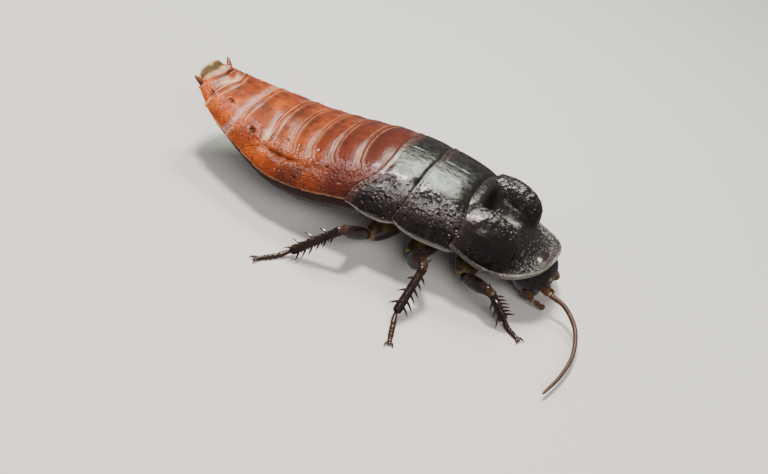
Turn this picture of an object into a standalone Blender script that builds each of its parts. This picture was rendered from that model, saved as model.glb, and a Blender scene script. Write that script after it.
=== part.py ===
"""A male Madagascar hissing cockroach, life size, standing still on a flat floor.

It is modelled in millimetres in the body's own frame: +X to the head, +Y to the animal's left, +Z up,
with zero at the hind edge of the third thoracic plate, on the plane of the plates' side edges.
At the end every solid is brought to metres and set on the floor, with the origin under the middle.
"""

import math
import random

import bmesh
import bpy
import numpy as np
from mathutils import Matrix, Vector

# Scale and clearances, in millimetres
METRES = 0.001
GAP = 0.3
FLOOR = -11.0
MIDDLE = (1.1, -0.08)
EDGE = 0.35
UNDER_GAP = 0.45

# Back plates from the second thoracic one to the tail: name, length, rise of the side edge towards
# the tail, half width and height of the arch at the hind edge, and how far the hind corners lie back
PLATES = [
    ("mesonotum", 7.2, 0.1, 12.7, 6.5, 1.0),
    ("metanotum", 7.4, -0.3, 12.9, 6.7, 2.9),
    ("tergite_1", 4.7, -0.8, 13.2, 6.6, 2.5),
    ("tergite_2", 4.5, -1.0, 13.6, 6.6, 2.1),
    ("tergite_3", 4.7, -0.7, 13.7, 6.4, 1.7),
    ("tergite_4", 5.2, -0.2, 13.1, 6.1, 1.4),
    ("tergite_5", 4.8, 0.7, 11.7, 5.6, 1.2),
    ("tergite_6", 4.7, 1.0, 10.0, 4.8, 1.2),
    ("tergite_7", 5.4, 1.4, 7.8, 3.8, 1.2),
    ("tergite_8_9", 3.5, 1.7, 5.7, 2.7, 0.9),
    ("supra_anal_plate", 3.2, 1.8, 2.9, 1.5, -0.9),
]
# Lobes that hang from the side edges of the two thoracic plates: place, half length and depth
SIDE_LOBES = ((11.4, 4.6, 2.5), (2.1, 4.1, 1.7))
LOBE_HALF_THICKNESS = 0.45
LOBE_INSET = 0.15
LOBE_ROOT = 0.1
PLATE_STEP = 0.45
PLATE_LIP = 0.3
PLATE_SIDES = 18
PLATE_ROWS = ((0.0, 0.0), (0.12, 0.75), (0.55, 0.9), (0.86, 0.95), (1.0, 1.0))

# Pronotum: the place of its hind edge, its slope and its outline
PRONOTUM_BACK = (14.6, 0.2)
PRONOTUM_SLOPE = math.radians(18.4)
PRONOTUM_LENGTH = 17.7
PRONOTUM_WIDEST = 3.6
PRONOTUM_HALF_WIDTH = 11.9
PRONOTUM_BACK_HALF_WIDTH = 11.3
PRONOTUM_SQUARENESS = 2.6
PRONOTUM_HEIGHT = 5.9
PRONOTUM_CORNER = -2.0
PRONOTUM_ACROSS = 26
PRONOTUM_ALONG = 18
FRONT_RISE = 3.8
FRONT_RISE_START = 8.0

# Horns and the hollow between them: side place, half width, and crest heights along the shield
HORN_SIDE = 6.4
HORN_HALF_WIDTH = 4.0
HORN_TO_RIM = 1.0
HORN_CREST = ((-0.5, 3.0), (1.0, 5.6), (3.4, 6.7), (5.4, 7.1), (8.0, 7.2), (9.8, 6.7), (10.9, 5.4), (11.7, 3.2), (12.6, 0.0))
HORN_BLEND = 0.5
HORN_SPACE_CENTRE = (6.4, 6.7, 6.3)
HORN_SPACE_SIZE = (5.7, 3.1, 4.2)
TROUGH_DEPTH = 3.1
TROUGH_HALF_WIDTH = 4.0

# Underside: depth of the belly below the side edges at each plate's hind edge
BELLY_DEPTH = {
    "mesonotum": 5.4,
    "metanotum": 5.8,
    "tergite_1": 5.9,
    "tergite_2": 5.9,
    "tergite_3": 5.6,
    "tergite_4": 5.2,
    "tergite_5": 4.6,
    "tergite_6": 3.9,
    "tergite_7": 3.1,
    "tergite_8_9": 2.0,
}
BELLY_INSET = 1.1
NECK_SECTIONS = ((25.6, 2.6, 3.0), (23.0, 5.0, 4.2), (19.5, 8.6, 5.0), (14.6, 10.2, 5.3))
BELLY_SIDES = 12

# Head, below the front of the pronotum, its long axis from the crown down to the mouth
HEAD_CROWN = Vector((30.4, 0.0, -1.8))
HEAD_MOUTH = Vector((28.8, 0.0, -10.4))
HEAD_RINGS = ((0.0, 2.0, 1.6), (0.1, 3.4, 2.9), (0.25, 4.4, 3.7), (0.45, 4.6, 3.9), (0.62, 4.0, 3.5),
              (0.78, 3.0, 2.8), (0.9, 2.4, 2.1), (1.0, 1.7, 1.3))
EYE_CENTRE = Vector((30.7, 4.0, -5.0))
EYE_SIZE = Vector((1.4, 0.9, 1.8))

# Antennae: the right one runs forward and down, the left one back along the far side
ANTENNA_RADII = (0.55, 0.42, 0.3)
ANTENNA_RIGHT = ((32.2, -2.3, -6.6), (34.4, -3.0, -6.8), (37.4, -3.6, -7.3), (40.6, -6.4, -8.5),
                 (42.4, -12.0, -9.3), (42.4, -18.5, -9.7), (41.3, -24.8, -9.9))
ANTENNA_LEFT = ((32.2, 2.3, -6.6), (33.4, 4.4, -7.6), (32.4, 7.4, -8.4), (29.8, 11.6, -8.6),
                (27.2, 17.0, -8.4), (21.8, 22.2, -8.8), (14.8, 25.4, -9.6))

# Legs: hip, end of the coxa, knee, ankle and toe on the right side, and the same on the left
LEG_POINTS = {
    "fore_right": ((19.0, -3.2, -4.9), (19.4, -7.6, -8.0), (26.0, -12.6, -5.0),
                   (29.5, -11.4, -9.9), (33.0, -13.4, -10.64)),
    "mid_right": ((12.0, -3.6, -5.0), (9.6, -9.0, -8.0), (14.7, -16.8, -3.2),
                  (14.0, -22.8, -9.9), (16.2, -29.4, -10.64)),
    "hind_right": ((4.6, -3.6, -5.2), (1.4, -9.0, -8.0), (-0.4, -17.8, -3.0),
                   (-7.6, -20.6, -9.9), (-11.2, -25.6, -10.64)),
    "fore_left": ((19.0, 3.2, -4.9), (19.6, 7.6, -8.0), (24.4, 12.4, -5.0),
                  (23.2, 15.8, -9.9), (24.2, 20.4, -10.64)),
    "mid_left": ((12.0, 3.6, -5.0), (9.2, 9.0, -8.0), (12.2, 17.4, -3.2),
                 (9.4, 22.6, -9.9), (9.2, 29.4, -10.64)),
    "hind_left": ((4.6, 3.6, -5.2), (1.0, 9.0, -8.0), (-2.6, 17.6, -3.0),
                  (-10.6, 20.0, -9.9), (-15.6, 23.8, -10.64)),
}
COXA_SIZE = (2.3, 1.5)
FEMUR_SIZE = (1.6, 1.1)
TIBIA_SIZE = (0.95, 0.8)
TARSUS_RADIUS = 0.5
LEG_SIDES = 10
SPINE_LENGTH = 2.1
SPINE_RADIUS = 0.27
SPINES_ALONG = 5
CLAW_LENGTH = 1.5
CLAW_RADIUS = 0.28

CERCUS_ROOT = Vector((-37.1, 3.4, 1.7))
CERCUS_TIP = Vector((-39.6, 5.6, 4.7))
CERCUS_RADIUS = 0.62

# Colours, roughness
BLACK_BROWN = ((0.020, 0.013, 0.011), 0.22)
RUST = ((0.30, 0.055, 0.018), 0.3)
MAHOGANY = ((0.15, 0.028, 0.013), 0.28)
LEG_BROWN = ((0.028, 0.014, 0.010), 0.3)
FEELER = ((0.10, 0.045, 0.022), 0.45)
OLIVE = ((0.16, 0.11, 0.03), 0.5)
EYE_BLACK = ((0.008, 0.008, 0.010), 0.12)

random.seed(7)


def clear_scene():
    for old in list(bpy.data.objects):
        bpy.data.objects.remove(old, do_unlink=True)


def material(name, look):
    """A Principled material shared by every part that has this name."""
    made = bpy.data.materials.get(name)
    if made:
        return made
    colour, roughness = look
    made = bpy.data.materials.new(name)
    made.use_nodes = True
    shader = made.node_tree.nodes["Principled BSDF"]
    shader.inputs["Base Color"].default_value = (*colour, 1.0)
    shader.inputs["Roughness"].default_value = roughness
    shader.inputs["Metallic"].default_value = 0.0
    made.diffuse_color = (*colour, 1.0)
    return made


def smoothstep(low, high, value):
    t = min(max((value - low) / (high - low), 0.0), 1.0)
    return t * t * (3.0 - 2.0 * t)


def to_object(bm, name):
    """A new object from a closed bmesh, with its faces turned outward."""
    bmesh.ops.remove_doubles(bm, verts=bm.verts, dist=1e-5)
    bmesh.ops.recalc_face_normals(bm, faces=bm.faces)
    mesh = bpy.data.meshes.new(name)
    bm.to_mesh(mesh)
    bm.free()
    made = bpy.data.objects.new(name, mesh)
    bpy.context.scene.collection.objects.link(made)
    return made


def remove(thing):
    bpy.data.objects.remove(thing, do_unlink=True)


def apply_modifiers(thing):
    """The object takes the shape that its modifiers give it."""
    seen = thing.evaluated_get(bpy.context.evaluated_depsgraph_get())
    mesh = bpy.data.meshes.new_from_object(seen)
    thing.modifiers.clear()
    thing.data = mesh


def largest_piece(thing):
    """Of all closed surfaces in the mesh, keeps the one that holds the most volume."""
    bm = bmesh.new()
    bm.from_mesh(thing.data)
    bm.verts.ensure_lookup_table()
    left = set(bm.verts)
    pieces = []
    while left:
        stack = [left.pop()]
        piece = set(stack)
        while stack:
            for edge in stack.pop().link_edges:
                for vert in edge.verts:
                    if vert in left:
                        left.discard(vert)
                        piece.add(vert)
                        stack.append(vert)
        pieces.append(piece)

    def span(piece):
        corners = np.array([vert.co for vert in piece])
        return float(np.prod(corners.max(axis=0) - corners.min(axis=0)))

    keep = max(pieces, key=span)
    bmesh.ops.delete(bm, geom=[v for v in bm.verts if v not in keep], context="VERTS")
    bm.to_mesh(thing.data)
    bm.free()


def whole_and_closed(thing):
    """True where every edge joins two faces and no surface lies apart from the rest."""
    bm = bmesh.new()
    bm.from_mesh(thing.data)
    closed = all(edge.is_manifold for edge in bm.edges)
    bm.faces.ensure_lookup_table()
    reached = {bm.faces[0]}
    stack = [bm.faces[0]]
    while stack:
        for edge in stack.pop().edges:
            for face in edge.link_faces:
                if face not in reached:
                    reached.add(face)
                    stack.append(face)
    whole = len(reached) == len(bm.faces)
    bm.free()
    return closed and whole


def boolean(thing, operation, other=None, group=None):
    """Applies a Boolean with the exact solver, or with the manifold one where that leaves a flaw."""
    before = thing.data.copy()
    for solver in ("EXACT", "MANIFOLD"):
        thing.data = before.copy()
        step = thing.modifiers.new("step", "BOOLEAN")
        step.operation = operation
        step.solver = solver
        if group:
            step.operand_type = "COLLECTION"
            step.collection = group
        else:
            step.object = other
        apply_modifiers(thing)
        largest_piece(thing)
        if whole_and_closed(thing):
            return


def joined(name, pieces):
    """One closed body from overlapping closed pieces."""
    group = bpy.data.collections.new(name + "_pieces")
    bpy.context.scene.collection.children.link(group)
    for piece in pieces[1:]:
        bpy.context.scene.collection.objects.unlink(piece)
        group.objects.link(piece)
    boolean(pieces[0], "UNION", group=group)
    for piece in pieces[1:]:
        remove(piece)
    bpy.data.collections.remove(group)
    pieces[0].name = name
    return pieces[0]


def cut(thing, cutter, operation="DIFFERENCE"):
    """Takes the cutter out of the object, or keeps only what lies inside it."""
    boolean(thing, operation, other=cutter)


def seat(host, build):
    """Sinks a part into its host: the host gets a socket that leaves the gap all round the part."""
    socket = build(GAP)
    cut(host, socket)
    remove(socket)
    return build(0.0)


def ring(bm, centre, normal, across, half_width, half_height, sides, cap=False):
    """A loop of edges round a centre, square to a direction, with its wide axis along another."""
    normal = normal.normalized()
    wide = (across - normal * across.dot(normal)).normalized()
    tall = normal.cross(wide)
    made = bmesh.ops.create_circle(bm, cap_ends=cap, radius=1.0, segments=sides)
    place = Matrix.Translation(centre) @ Matrix((
        (wide.x * half_width, tall.x * half_height, normal.x, 0.0),
        (wide.y * half_width, tall.y * half_height, normal.y, 0.0),
        (wide.z * half_width, tall.z * half_height, normal.z, 0.0),
        (0.0, 0.0, 0.0, 1.0)))
    bmesh.ops.transform(bm, matrix=place, verts=made["verts"])
    return list({edge for vert in made["verts"] for edge in vert.link_edges})


def tube(name, stations, across, sides, normals=None):
    """A closed limb through (centre, half width, half height), with a ring at each."""
    bm = bmesh.new()
    centres = [station[0] for station in stations]
    last = len(stations) - 1
    before = None
    for k, (centre, half_width, half_height) in enumerate(stations):
        normal = (centres[min(k + 1, last)] - centres[max(k - 1, 0)]).normalized()
        if normals and k in normals:
            normal = normals[k]
        edges = ring(bm, centre, normal, across, half_width, half_height, sides, cap=k in (0, last))
        if before:
            bmesh.ops.bridge_loops(bm, edges=before + edges)
        before = edges
    return to_object(bm, name)


def cone(bm, root, tip, radius, tip_radius, sides):
    """A tapered spike from its sunk root to its tip."""
    along = tip - root
    turn = along.to_track_quat("Z", "Y").to_matrix().to_4x4()
    place = Matrix.Translation((root + tip) / 2.0) @ turn
    bmesh.ops.create_cone(bm, cap_ends=True, segments=sides, radius1=radius, radius2=tip_radius,
                          depth=along.length, matrix=place)


def spikes(name, roots_and_tips, radius, tip_radius, sides=5):
    """One object for each spike, ready to be joined to what it grows from."""
    made = []
    for root, tip in roots_and_tips:
        bm = bmesh.new()
        cone(bm, root, tip, radius, tip_radius, sides)
        made.append(to_object(bm, name))
    return made


# The line of the side edges

def body_line():
    """Stations at the hind edges: x, z, half width, arch height, corner setback."""
    x, z = PRONOTUM_BACK
    stations = [(x, z, PRONOTUM_BACK_HALF_WIDTH, PRONOTUM_HEIGHT, PRONOTUM_CORNER)]
    for _, length, rise, half_width, height, corner in PLATES:
        x -= length
        z += rise
        stations.append((x, z, half_width, height, corner))
    return stations


LINE = body_line()


def tilt(index):
    """Nose-down slope of the side edge line at a station, in radians."""
    slopes = [math.atan2(plate[2], plate[1]) for plate in PLATES]
    if index == 0:
        return PRONOTUM_SLOPE
    if index == len(PLATES):
        return slopes[-1]
    return 0.5 * (slopes[index - 1] + slopes[index])


def arch_point(index, angle, shrink, up_shift, back_shift=0.0):
    """A point of the arch at a station: the angle runs from the right edge over the top to the left."""
    x, z, half_width, height, corner = LINE[index]
    lean = tilt(index)
    across = -(half_width - shrink) * math.cos(angle)
    up = max(height - shrink, 0.0) * math.sin(angle) + up_shift
    back = corner * math.cos(angle) ** 2 + back_shift
    return Vector((x + up * math.sin(lean) - back * math.cos(lean), across,
                   z + up * math.cos(lean) + back * math.sin(lean)))


def back_plate(number):
    """A plate of the back: its front lies lower than the lip of the plate ahead of it."""
    name = PLATES[number][0]
    bm = bmesh.new()
    last_row = len(PLATE_ROWS) - 1
    bmesh.ops.create_grid(bm, x_segments=last_row, y_segments=PLATE_SIDES, size=1.0)
    half_gap = GAP / 2.0
    floor_of = {}
    for vert in bm.verts:
        row = round((vert.co.x + 1.0) / 2.0 * last_row)
        angle = (vert.co.y + 1.0) / 2.0 * math.pi
        along, swell = PLATE_ROWS[row]
        lift = (PLATE_STEP + PLATE_LIP) * (swell - 1.0) + PLATE_LIP
        front = arch_point(number, angle, -lift, EDGE, half_gap)
        rear = arch_point(number + 1, angle, -lift, EDGE, -half_gap)
        front_floor = arch_point(number, angle, -lift, -EDGE, half_gap)
        rear_floor = arch_point(number + 1, angle, -lift, -EDGE, -half_gap)
        flat_front = front_floor - up_of(number) * max(LINE[number][3] + lift, 0.0) * math.sin(angle)
        flat_rear = rear_floor - up_of(number + 1) * max(LINE[number + 1][3] + lift, 0.0) * math.sin(angle)
        top = front.lerp(rear, along)
        floor_of[vert.index] = flat_front.lerp(flat_rear, along)
        vert.co = top
    close_below(bm, floor_of)
    return to_object(bm, name)


def up_of(index):
    lean = tilt(index)
    return Vector((math.sin(lean), 0.0, math.cos(lean)))


def close_below(bm, floor_of):
    """Walls down from the edge of a sheet to given places, and one flat face across them."""
    edges = [edge for edge in bm.edges if edge.is_boundary]
    order = {}
    for edge in edges:
        for vert in edge.verts:
            order[tuple(vert.co)] = floor_of[vert.index]
    made = bmesh.ops.extrude_edge_only(bm, edges=edges)["geom"]
    for item in made:
        if isinstance(item, bmesh.types.BMVert):
            item.co = order[tuple(item.co)]
    rim = [item for item in made if isinstance(item, bmesh.types.BMEdge)
           and all(link.co[:] in {tuple(p) for p in floor_points(order)} for link in item.verts)]
    bmesh.ops.holes_fill(bm, edges=rim, sides=0)


def floor_points(order):
    return [point[:] for point in order.values()]


def side_lobes(number):
    """Two half discs that hang from the side edges of a thoracic plate."""
    x, half_length, depth = SIDE_LOBES[number]
    narrowing = edge_half_width(x + 1.0) - edge_half_width(x)
    made = []
    for side in (1.0, -1.0):
        bm = bmesh.new()
        bmesh.ops.create_uvsphere(bm, u_segments=18, v_segments=8, radius=1.0)
        geometry = list(bm.verts) + list(bm.edges) + list(bm.faces)
        opened = bmesh.ops.bisect_plane(bm, geom=geometry, plane_co=(0.0, 0.0, LOBE_ROOT),
                                        plane_no=(0.0, 0.0, 1.0), clear_outer=True)["geom_cut"]
        bmesh.ops.holes_fill(bm, edges=[item for item in opened if isinstance(item, bmesh.types.BMEdge)])
        place = Matrix.Translation((x, side * (edge_half_width(x) - LOBE_INSET), edge_height(x)))
        place @= Matrix.Rotation(side * math.atan(narrowing), 4, "Z")
        place @= Matrix.Diagonal((half_length, LOBE_HALF_THICKNESS, depth, 1.0))
        bmesh.ops.transform(bm, matrix=place, verts=bm.verts)
        made.append(to_object(bm, "lobe"))
    return made


def pronotum_half_width(s):
    if s < PRONOTUM_WIDEST:
        t = smoothstep(-1.0, PRONOTUM_WIDEST, s)
        return PRONOTUM_BACK_HALF_WIDTH + (PRONOTUM_HALF_WIDTH - PRONOTUM_BACK_HALF_WIDTH) * t
    t = min((s - PRONOTUM_WIDEST) / (PRONOTUM_LENGTH - PRONOTUM_WIDEST + 0.02), 1.0)
    return PRONOTUM_HALF_WIDTH * (1.0 - t ** PRONOTUM_SQUARENESS) ** (1.0 / PRONOTUM_SQUARENESS)


def rim_rise(s):
    """How far the rim curves up from its plane towards the front."""
    t = max((s - FRONT_RISE_START) / (PRONOTUM_LENGTH - FRONT_RISE_START), 0.0)
    return FRONT_RISE * t * t


def pronotum_height(s, y):
    """Height of the shield above its rim: an arch, a hollow in the middle and a horn on each side."""
    side = min(abs(y) / pronotum_half_width(s), 1.0)
    fall = 1.0 - smoothstep(6.0, 17.0, s)
    arch = PRONOTUM_HEIGHT * math.sqrt(max(1.0 - side * side, 0.0)) * fall
    hollow = math.exp(-(y / TROUGH_HALF_WIDTH) ** 4)
    hollow *= smoothstep(1.0, 3.4, s) * (1.0 - smoothstep(7.0, 11.5, s))
    body = max(arch - TROUGH_DEPTH * hollow, 0.0)
    crest = float(np.interp(s, [c[0] for c in HORN_CREST], [c[1] for c in HORN_CREST]))
    reach = HORN_HALF_WIDTH
    if abs(y) > HORN_SIDE:
        reach = max(pronotum_half_width(s) - HORN_TO_RIM - HORN_SIDE, 0.5)
    off = (abs(y) - HORN_SIDE) / reach
    horn = crest * math.sqrt(max(1.0 - off * off, 0.0))
    spread = math.sqrt((body - horn) ** 2 + HORN_BLEND ** 2) - HORN_BLEND
    lip = 0.5 * smoothstep(PRONOTUM_LENGTH - 1.8, PRONOTUM_LENGTH - 0.2, s)
    return 0.5 * (body + horn + spread) + lip


def pronotum_frame():
    """Axes of the pronotum: forward along its rim, and up from it."""
    forward = Vector((math.cos(PRONOTUM_SLOPE), 0.0, -math.sin(PRONOTUM_SLOPE)))
    up = Vector((math.sin(PRONOTUM_SLOPE), 0.0, math.cos(PRONOTUM_SLOPE)))
    return Vector((PRONOTUM_BACK[0], 0.0, PRONOTUM_BACK[1])), forward, up


def pronotum_point(s, y, height):
    start, forward, up = pronotum_frame()
    return start + forward * s + Vector((0.0, y, 0.0)) + up * height


def pronotum():
    """The shield: rows run across it, from its hind edge to its rounded front rim."""
    bm = bmesh.new()
    bmesh.ops.create_grid(bm, x_segments=PRONOTUM_ALONG, y_segments=PRONOTUM_ACROSS, size=1.0)
    for vert in bm.verts:
        along = (vert.co.x + 1.0) / 2.0
        angle = (vert.co.y + 1.0) / 2.0 * math.pi
        back = -PRONOTUM_CORNER * math.cos(angle) ** 2 + GAP / 2.0
        s = back + (PRONOTUM_LENGTH - back) * math.sin(along * math.pi / 2.0) ** 1.15
        vert.co = Vector((s, -pronotum_half_width(s) * math.cos(angle), 0.0))
    below = bmesh.ops.extrude_face_region(bm, geom=list(bm.faces), use_keep_orig=True)["geom"]
    below = {item for item in below if isinstance(item, bmesh.types.BMVert)}
    for vert in bm.verts:
        s, y, _ = vert.co
        height = -EDGE if vert in below else pronotum_height(s, y) + EDGE
        vert.co = pronotum_point(s, y, rim_rise(s) + height)
    return to_object(bm, "pronotum")


def horn_block(side):
    """The space that a horn takes from the shield: an egg round its ridge, flat to the shield."""
    def build(grow):
        bm = bmesh.new()
        bmesh.ops.create_uvsphere(bm, u_segments=16, v_segments=8, radius=1.0)
        start, forward, up = pronotum_frame()
        s, y, height = HORN_SPACE_CENTRE
        centre = pronotum_point(s, side * y, height)
        size = [half + grow for half in HORN_SPACE_SIZE]
        left = Vector((0.0, 1.0, 0.0))
        place = Matrix((
            (forward.x * size[0], left.x * size[1], up.x * size[2], centre.x),
            (forward.y * size[0], left.y * size[1], up.y * size[2], centre.y),
            (forward.z * size[0], left.z * size[1], up.z * size[2], centre.z),
            (0.0, 0.0, 0.0, 1.0)))
        bmesh.ops.transform(bm, matrix=place, verts=bm.verts)
        return to_object(bm, "horn_space")
    return build


def underside(name, sections):
    """The soft side below the plates through (x, half width, depth), stepped where a segment ends."""
    bm = bmesh.new()
    before = None
    last = len(sections) - 1
    for k, (x, half_width, depth) in enumerate(sections):
        lips = ((0.0, 0.0),) if k in (0, last) else ((0.25, 0.0), (-0.15, -0.35))
        for back, swell in lips:
            edges = belly_ring(bm, x + back, half_width + swell, depth + swell, cap=k in (0, last))
            if before:
                bmesh.ops.bridge_loops(bm, edges=before + edges)
            before = edges
    return to_object(bm, name)


def belly_sections(first, last):
    """Sections of the belly from one station of the back to another."""
    found = []
    for index in range(first, last + 1):
        x, _, half_width, _, _ = LINE[index]
        found.append((x, half_width - BELLY_INSET, BELLY_DEPTH[PLATES[index - 1][0]]))
    return found


def belly_ring(bm, x, half_width, depth, cap):
    """A loop with a flat top just below the plates and a round belly."""
    made = bmesh.ops.create_circle(bm, cap_ends=cap, radius=1.0, segments=BELLY_SIDES * 2)
    top = -EDGE - UNDER_GAP
    z = edge_height(x)
    for vert in made["verts"]:
        angle = math.atan2(vert.co.y, vert.co.x)
        below = min(math.sin(angle), 0.0) * (depth + top)
        vert.co = Vector((x, math.cos(angle) * half_width, z + top + below))
    return list({edge for vert in made["verts"] for edge in vert.link_edges})


def edge_half_width(x):
    """Half the width between the side edges at a place along the body."""
    return float(np.interp(x, [station[0] for station in LINE][::-1], [station[2] for station in LINE][::-1]))


def edge_height(x):
    """Height of the side edge line at a place along the body."""
    if x > PRONOTUM_BACK[0]:
        return PRONOTUM_BACK[1] - (x - PRONOTUM_BACK[0]) * math.tan(PRONOTUM_SLOPE)
    xs = [station[0] for station in LINE][::-1]
    zs = [station[1] for station in LINE][::-1]
    return float(np.interp(x, xs, zs))


def head():
    """The capsule of the head, with the upper lip and the two jaws below it."""
    axis = HEAD_MOUTH - HEAD_CROWN
    stations = [(HEAD_CROWN.lerp(HEAD_MOUTH, t), wide, deep) for t, wide, deep in HEAD_RINGS]
    normals = {k: axis.normalized() for k in range(len(stations))}
    capsule = tube("head", stations, Vector((0.0, 1.0, 0.0)), 20, normals)
    above = shield_block()
    cut(capsule, above)
    remove(above)
    return capsule


def shield_block():
    """All that lies above the underside of the pronotum, less the gap."""
    bm = bmesh.new()
    bmesh.ops.create_grid(bm, x_segments=PRONOTUM_ALONG, y_segments=1, size=1.0)
    above = bmesh.ops.extrude_face_region(bm, geom=list(bm.faces), use_keep_orig=True)["geom"]
    above = {item for item in above if isinstance(item, bmesh.types.BMVert)}
    for vert in bm.verts:
        s = (vert.co.x + 1.0) / 2.0 * (PRONOTUM_LENGTH + 2.0)
        height = PRONOTUM_LENGTH if vert in above else rim_rise(s) - EDGE - GAP
        vert.co = pronotum_point(s, vert.co.y * PRONOTUM_LENGTH, height)
    return to_object(bm, "shield_block")


def eye(side):
    def build(grow):
        bm = bmesh.new()
        bmesh.ops.create_uvsphere(bm, u_segments=12, v_segments=8, radius=1.0)
        size = EYE_SIZE + Vector((grow, grow, grow))
        place = Matrix.Translation((EYE_CENTRE.x, side * EYE_CENTRE.y, EYE_CENTRE.z))
        place = place @ Matrix.Rotation(side * math.radians(-12.0), 4, "X") @ Matrix.Diagonal((*size, 1.0))
        bmesh.ops.transform(bm, matrix=place, verts=bm.verts)
        return to_object(bm, "eye_left" if side > 0 else "eye_right")
    return build


def curve_points(points, count):
    """Evenly spaced points on a smooth curve through the given ones."""
    points = [Vector(p) for p in points]
    padded = [points[0] * 2 - points[1]] + points + [points[-1] * 2 - points[-2]]
    fine = []
    for a, b, c, d in zip(padded, padded[1:], padded[2:], padded[3:]):
        for step in range(16):
            t = step / 16.0
            fine.append(0.5 * ((2 * b) + (c - a) * t + (2 * a - 5 * b + 4 * c - d) * t * t
                               + (3 * b - a - 3 * c + d) * t ** 3))
    fine.append(points[-1])
    lengths = [0.0]
    for a, b in zip(fine, fine[1:]):
        lengths.append(lengths[-1] + (b - a).length)
    wanted = np.linspace(0.0, lengths[-1], count)
    cols = [np.interp(wanted, lengths, [p[i] for p in fine]) for i in range(3)]
    return [Vector(p) for p in zip(*cols)]


def antenna_length(name, points, radii, grow=0.0):
    stations = [(p, r + grow, r + grow) for p, r in zip(points, radii)]
    return tube(name, stations, Vector((0.0, 0.0, 1.0)), 6)


def antenna(side_name, route, host):
    """A feeler in three lengths, with the gap between them."""
    points = curve_points(route, 28)
    radii = np.interp(np.linspace(0, 1, 28), (0.0, 0.12, 0.4, 1.0),
                      (0.62, ANTENNA_RADII[0], ANTENNA_RADII[1], ANTENNA_RADII[2]))
    cuts = (0, 8, 18, 27)
    made = []
    for k, (start, stop) in enumerate(zip(cuts, cuts[1:])):
        run = points[start:stop + 1]
        sizes = list(radii[start:stop + 1])
        if k:
            run[0] = run[0] + (run[1] - run[0]).normalized() * GAP
        name = f"antenna_{side_name}_{k + 1}"
        if k == 0:
            made.append(seat(host, lambda grow, run=run, sizes=sizes, name=name:
                             antenna_length(name, run, sizes, grow)))
        else:
            made.append(antenna_length(name, run, sizes))
    return made


def palp(side, host):
    """A feeler of the mouth, bent at its middle."""
    points = [Vector((29.8, side * 2.2, -8.8)), Vector((31.6, side * 3.0, -9.3)),
              Vector((32.9, side * 3.1, -9.2)), Vector((34.1, side * 2.6, -9.9))]
    name = "palp_left" if side > 0 else "palp_right"

    def build(grow):
        sizes = (0.42, 0.42, 0.4, 0.3)
        stations = [(p, r + grow, r + grow) for p, r in zip(points, sizes)]
        return tube(name, stations, Vector((0.0, 0.0, 1.0)), 7)
    return seat(host, build)


def joint_plane(before, at, after):
    return ((at - before).normalized() + (after - at).normalized()).normalized()


def limb(name, start, end, start_normal, end_normal, sizes, across, grow=0.0):
    """A leg segment whose ends lie on the joints' planes, half a gap short of each."""
    along = (end - start).normalized()
    half_gap = GAP / 2.0
    first = start + along * half_gap / max(start_normal.dot(along), 0.5)
    final = end - along * half_gap / max(end_normal.dot(along), 0.5)
    stations = []
    for t, wide, tall in sizes:
        stations.append((first.lerp(final, t), wide + grow, tall + grow))
    normals = {k: along for k in range(len(stations))}
    normals[0] = start_normal
    normals[len(stations) - 1] = end_normal
    return tube(name, stations, across, LEG_SIDES, normals)


def spine_set(start, end, across, radius, count):
    """Rows of spurs down a shin, leaning towards the foot, in three directions."""
    along = (end - start).normalized()
    side = (across - along * across.dot(along)).normalized()
    other = along.cross(side)
    found = []
    for k in range(count):
        for row, turn in enumerate((-1.1, 0.35, 1.75)):
            t = 0.2 + 0.7 * (k + 0.33 * row) / count
            out = side * math.cos(turn) + other * math.sin(turn)
            root = start.lerp(end, t) + out * radius * 0.25
            reach = SPINE_LENGTH * random.uniform(0.8, 1.1)
            lean = (out + along * 0.75).normalized()
            tip = root + lean * (reach + radius * 0.6)
            tip.z = max(tip.z, FLOOR + 0.35)
            found.append((root, tip))
    return found


def tarsus(name, ankle, toe, start_normal, across):
    """The foot: five joints with pads below, lying on the floor, and two claws at its end."""
    along = (toe - ankle).normalized()
    start = ankle + along * (GAP / 2.0) / max(start_normal.dot(along), 0.5)
    stations = [(start, TARSUS_RADIUS * 0.9, TARSUS_RADIUS * 0.9)]
    joints = 5
    for k in range(joints):
        for t, swell in ((0.15, 0.8), (0.7, 1.12)):
            run = (k + t) / joints
            place = start.lerp(toe, run)
            place.z = toe.z + (start.z - toe.z) * (1.0 - run) ** 2
            stations.append((place, TARSUS_RADIUS * swell, TARSUS_RADIUS * swell))
    stations.append((toe, TARSUS_RADIUS * 0.8, TARSUS_RADIUS * 0.8))
    foot = tube(name, stations, across, 8, {0: start_normal})
    out = Vector((along.x, along.y, 0.0)).normalized()
    side = Vector((-out.y, out.x, 0.0))
    claws = []
    for hand in (-1.0, 1.0):
        root = toe - out * 0.35 + side * hand * 0.12
        tip = toe + out * CLAW_LENGTH * 0.8 + side * hand * CLAW_LENGTH * 0.55
        tip.z = FLOOR + 0.1
        claws.append((root, tip))
    foot = joined(name, [foot] + spikes(name, claws, CLAW_RADIUS, 0.07))
    ground = floor_block()
    cut(foot, ground)
    remove(ground)
    return foot


def floor_block():
    """What lies below the floor, to flatten the soles."""
    bm = bmesh.new()
    bmesh.ops.create_cube(bm, size=1.0, matrix=Matrix.Translation((0.0, 0.0, FLOOR - 5.0))
                          @ Matrix.Diagonal((150.0, 150.0, 10.0, 1.0)))
    return to_object(bm, "floor_block")


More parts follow.
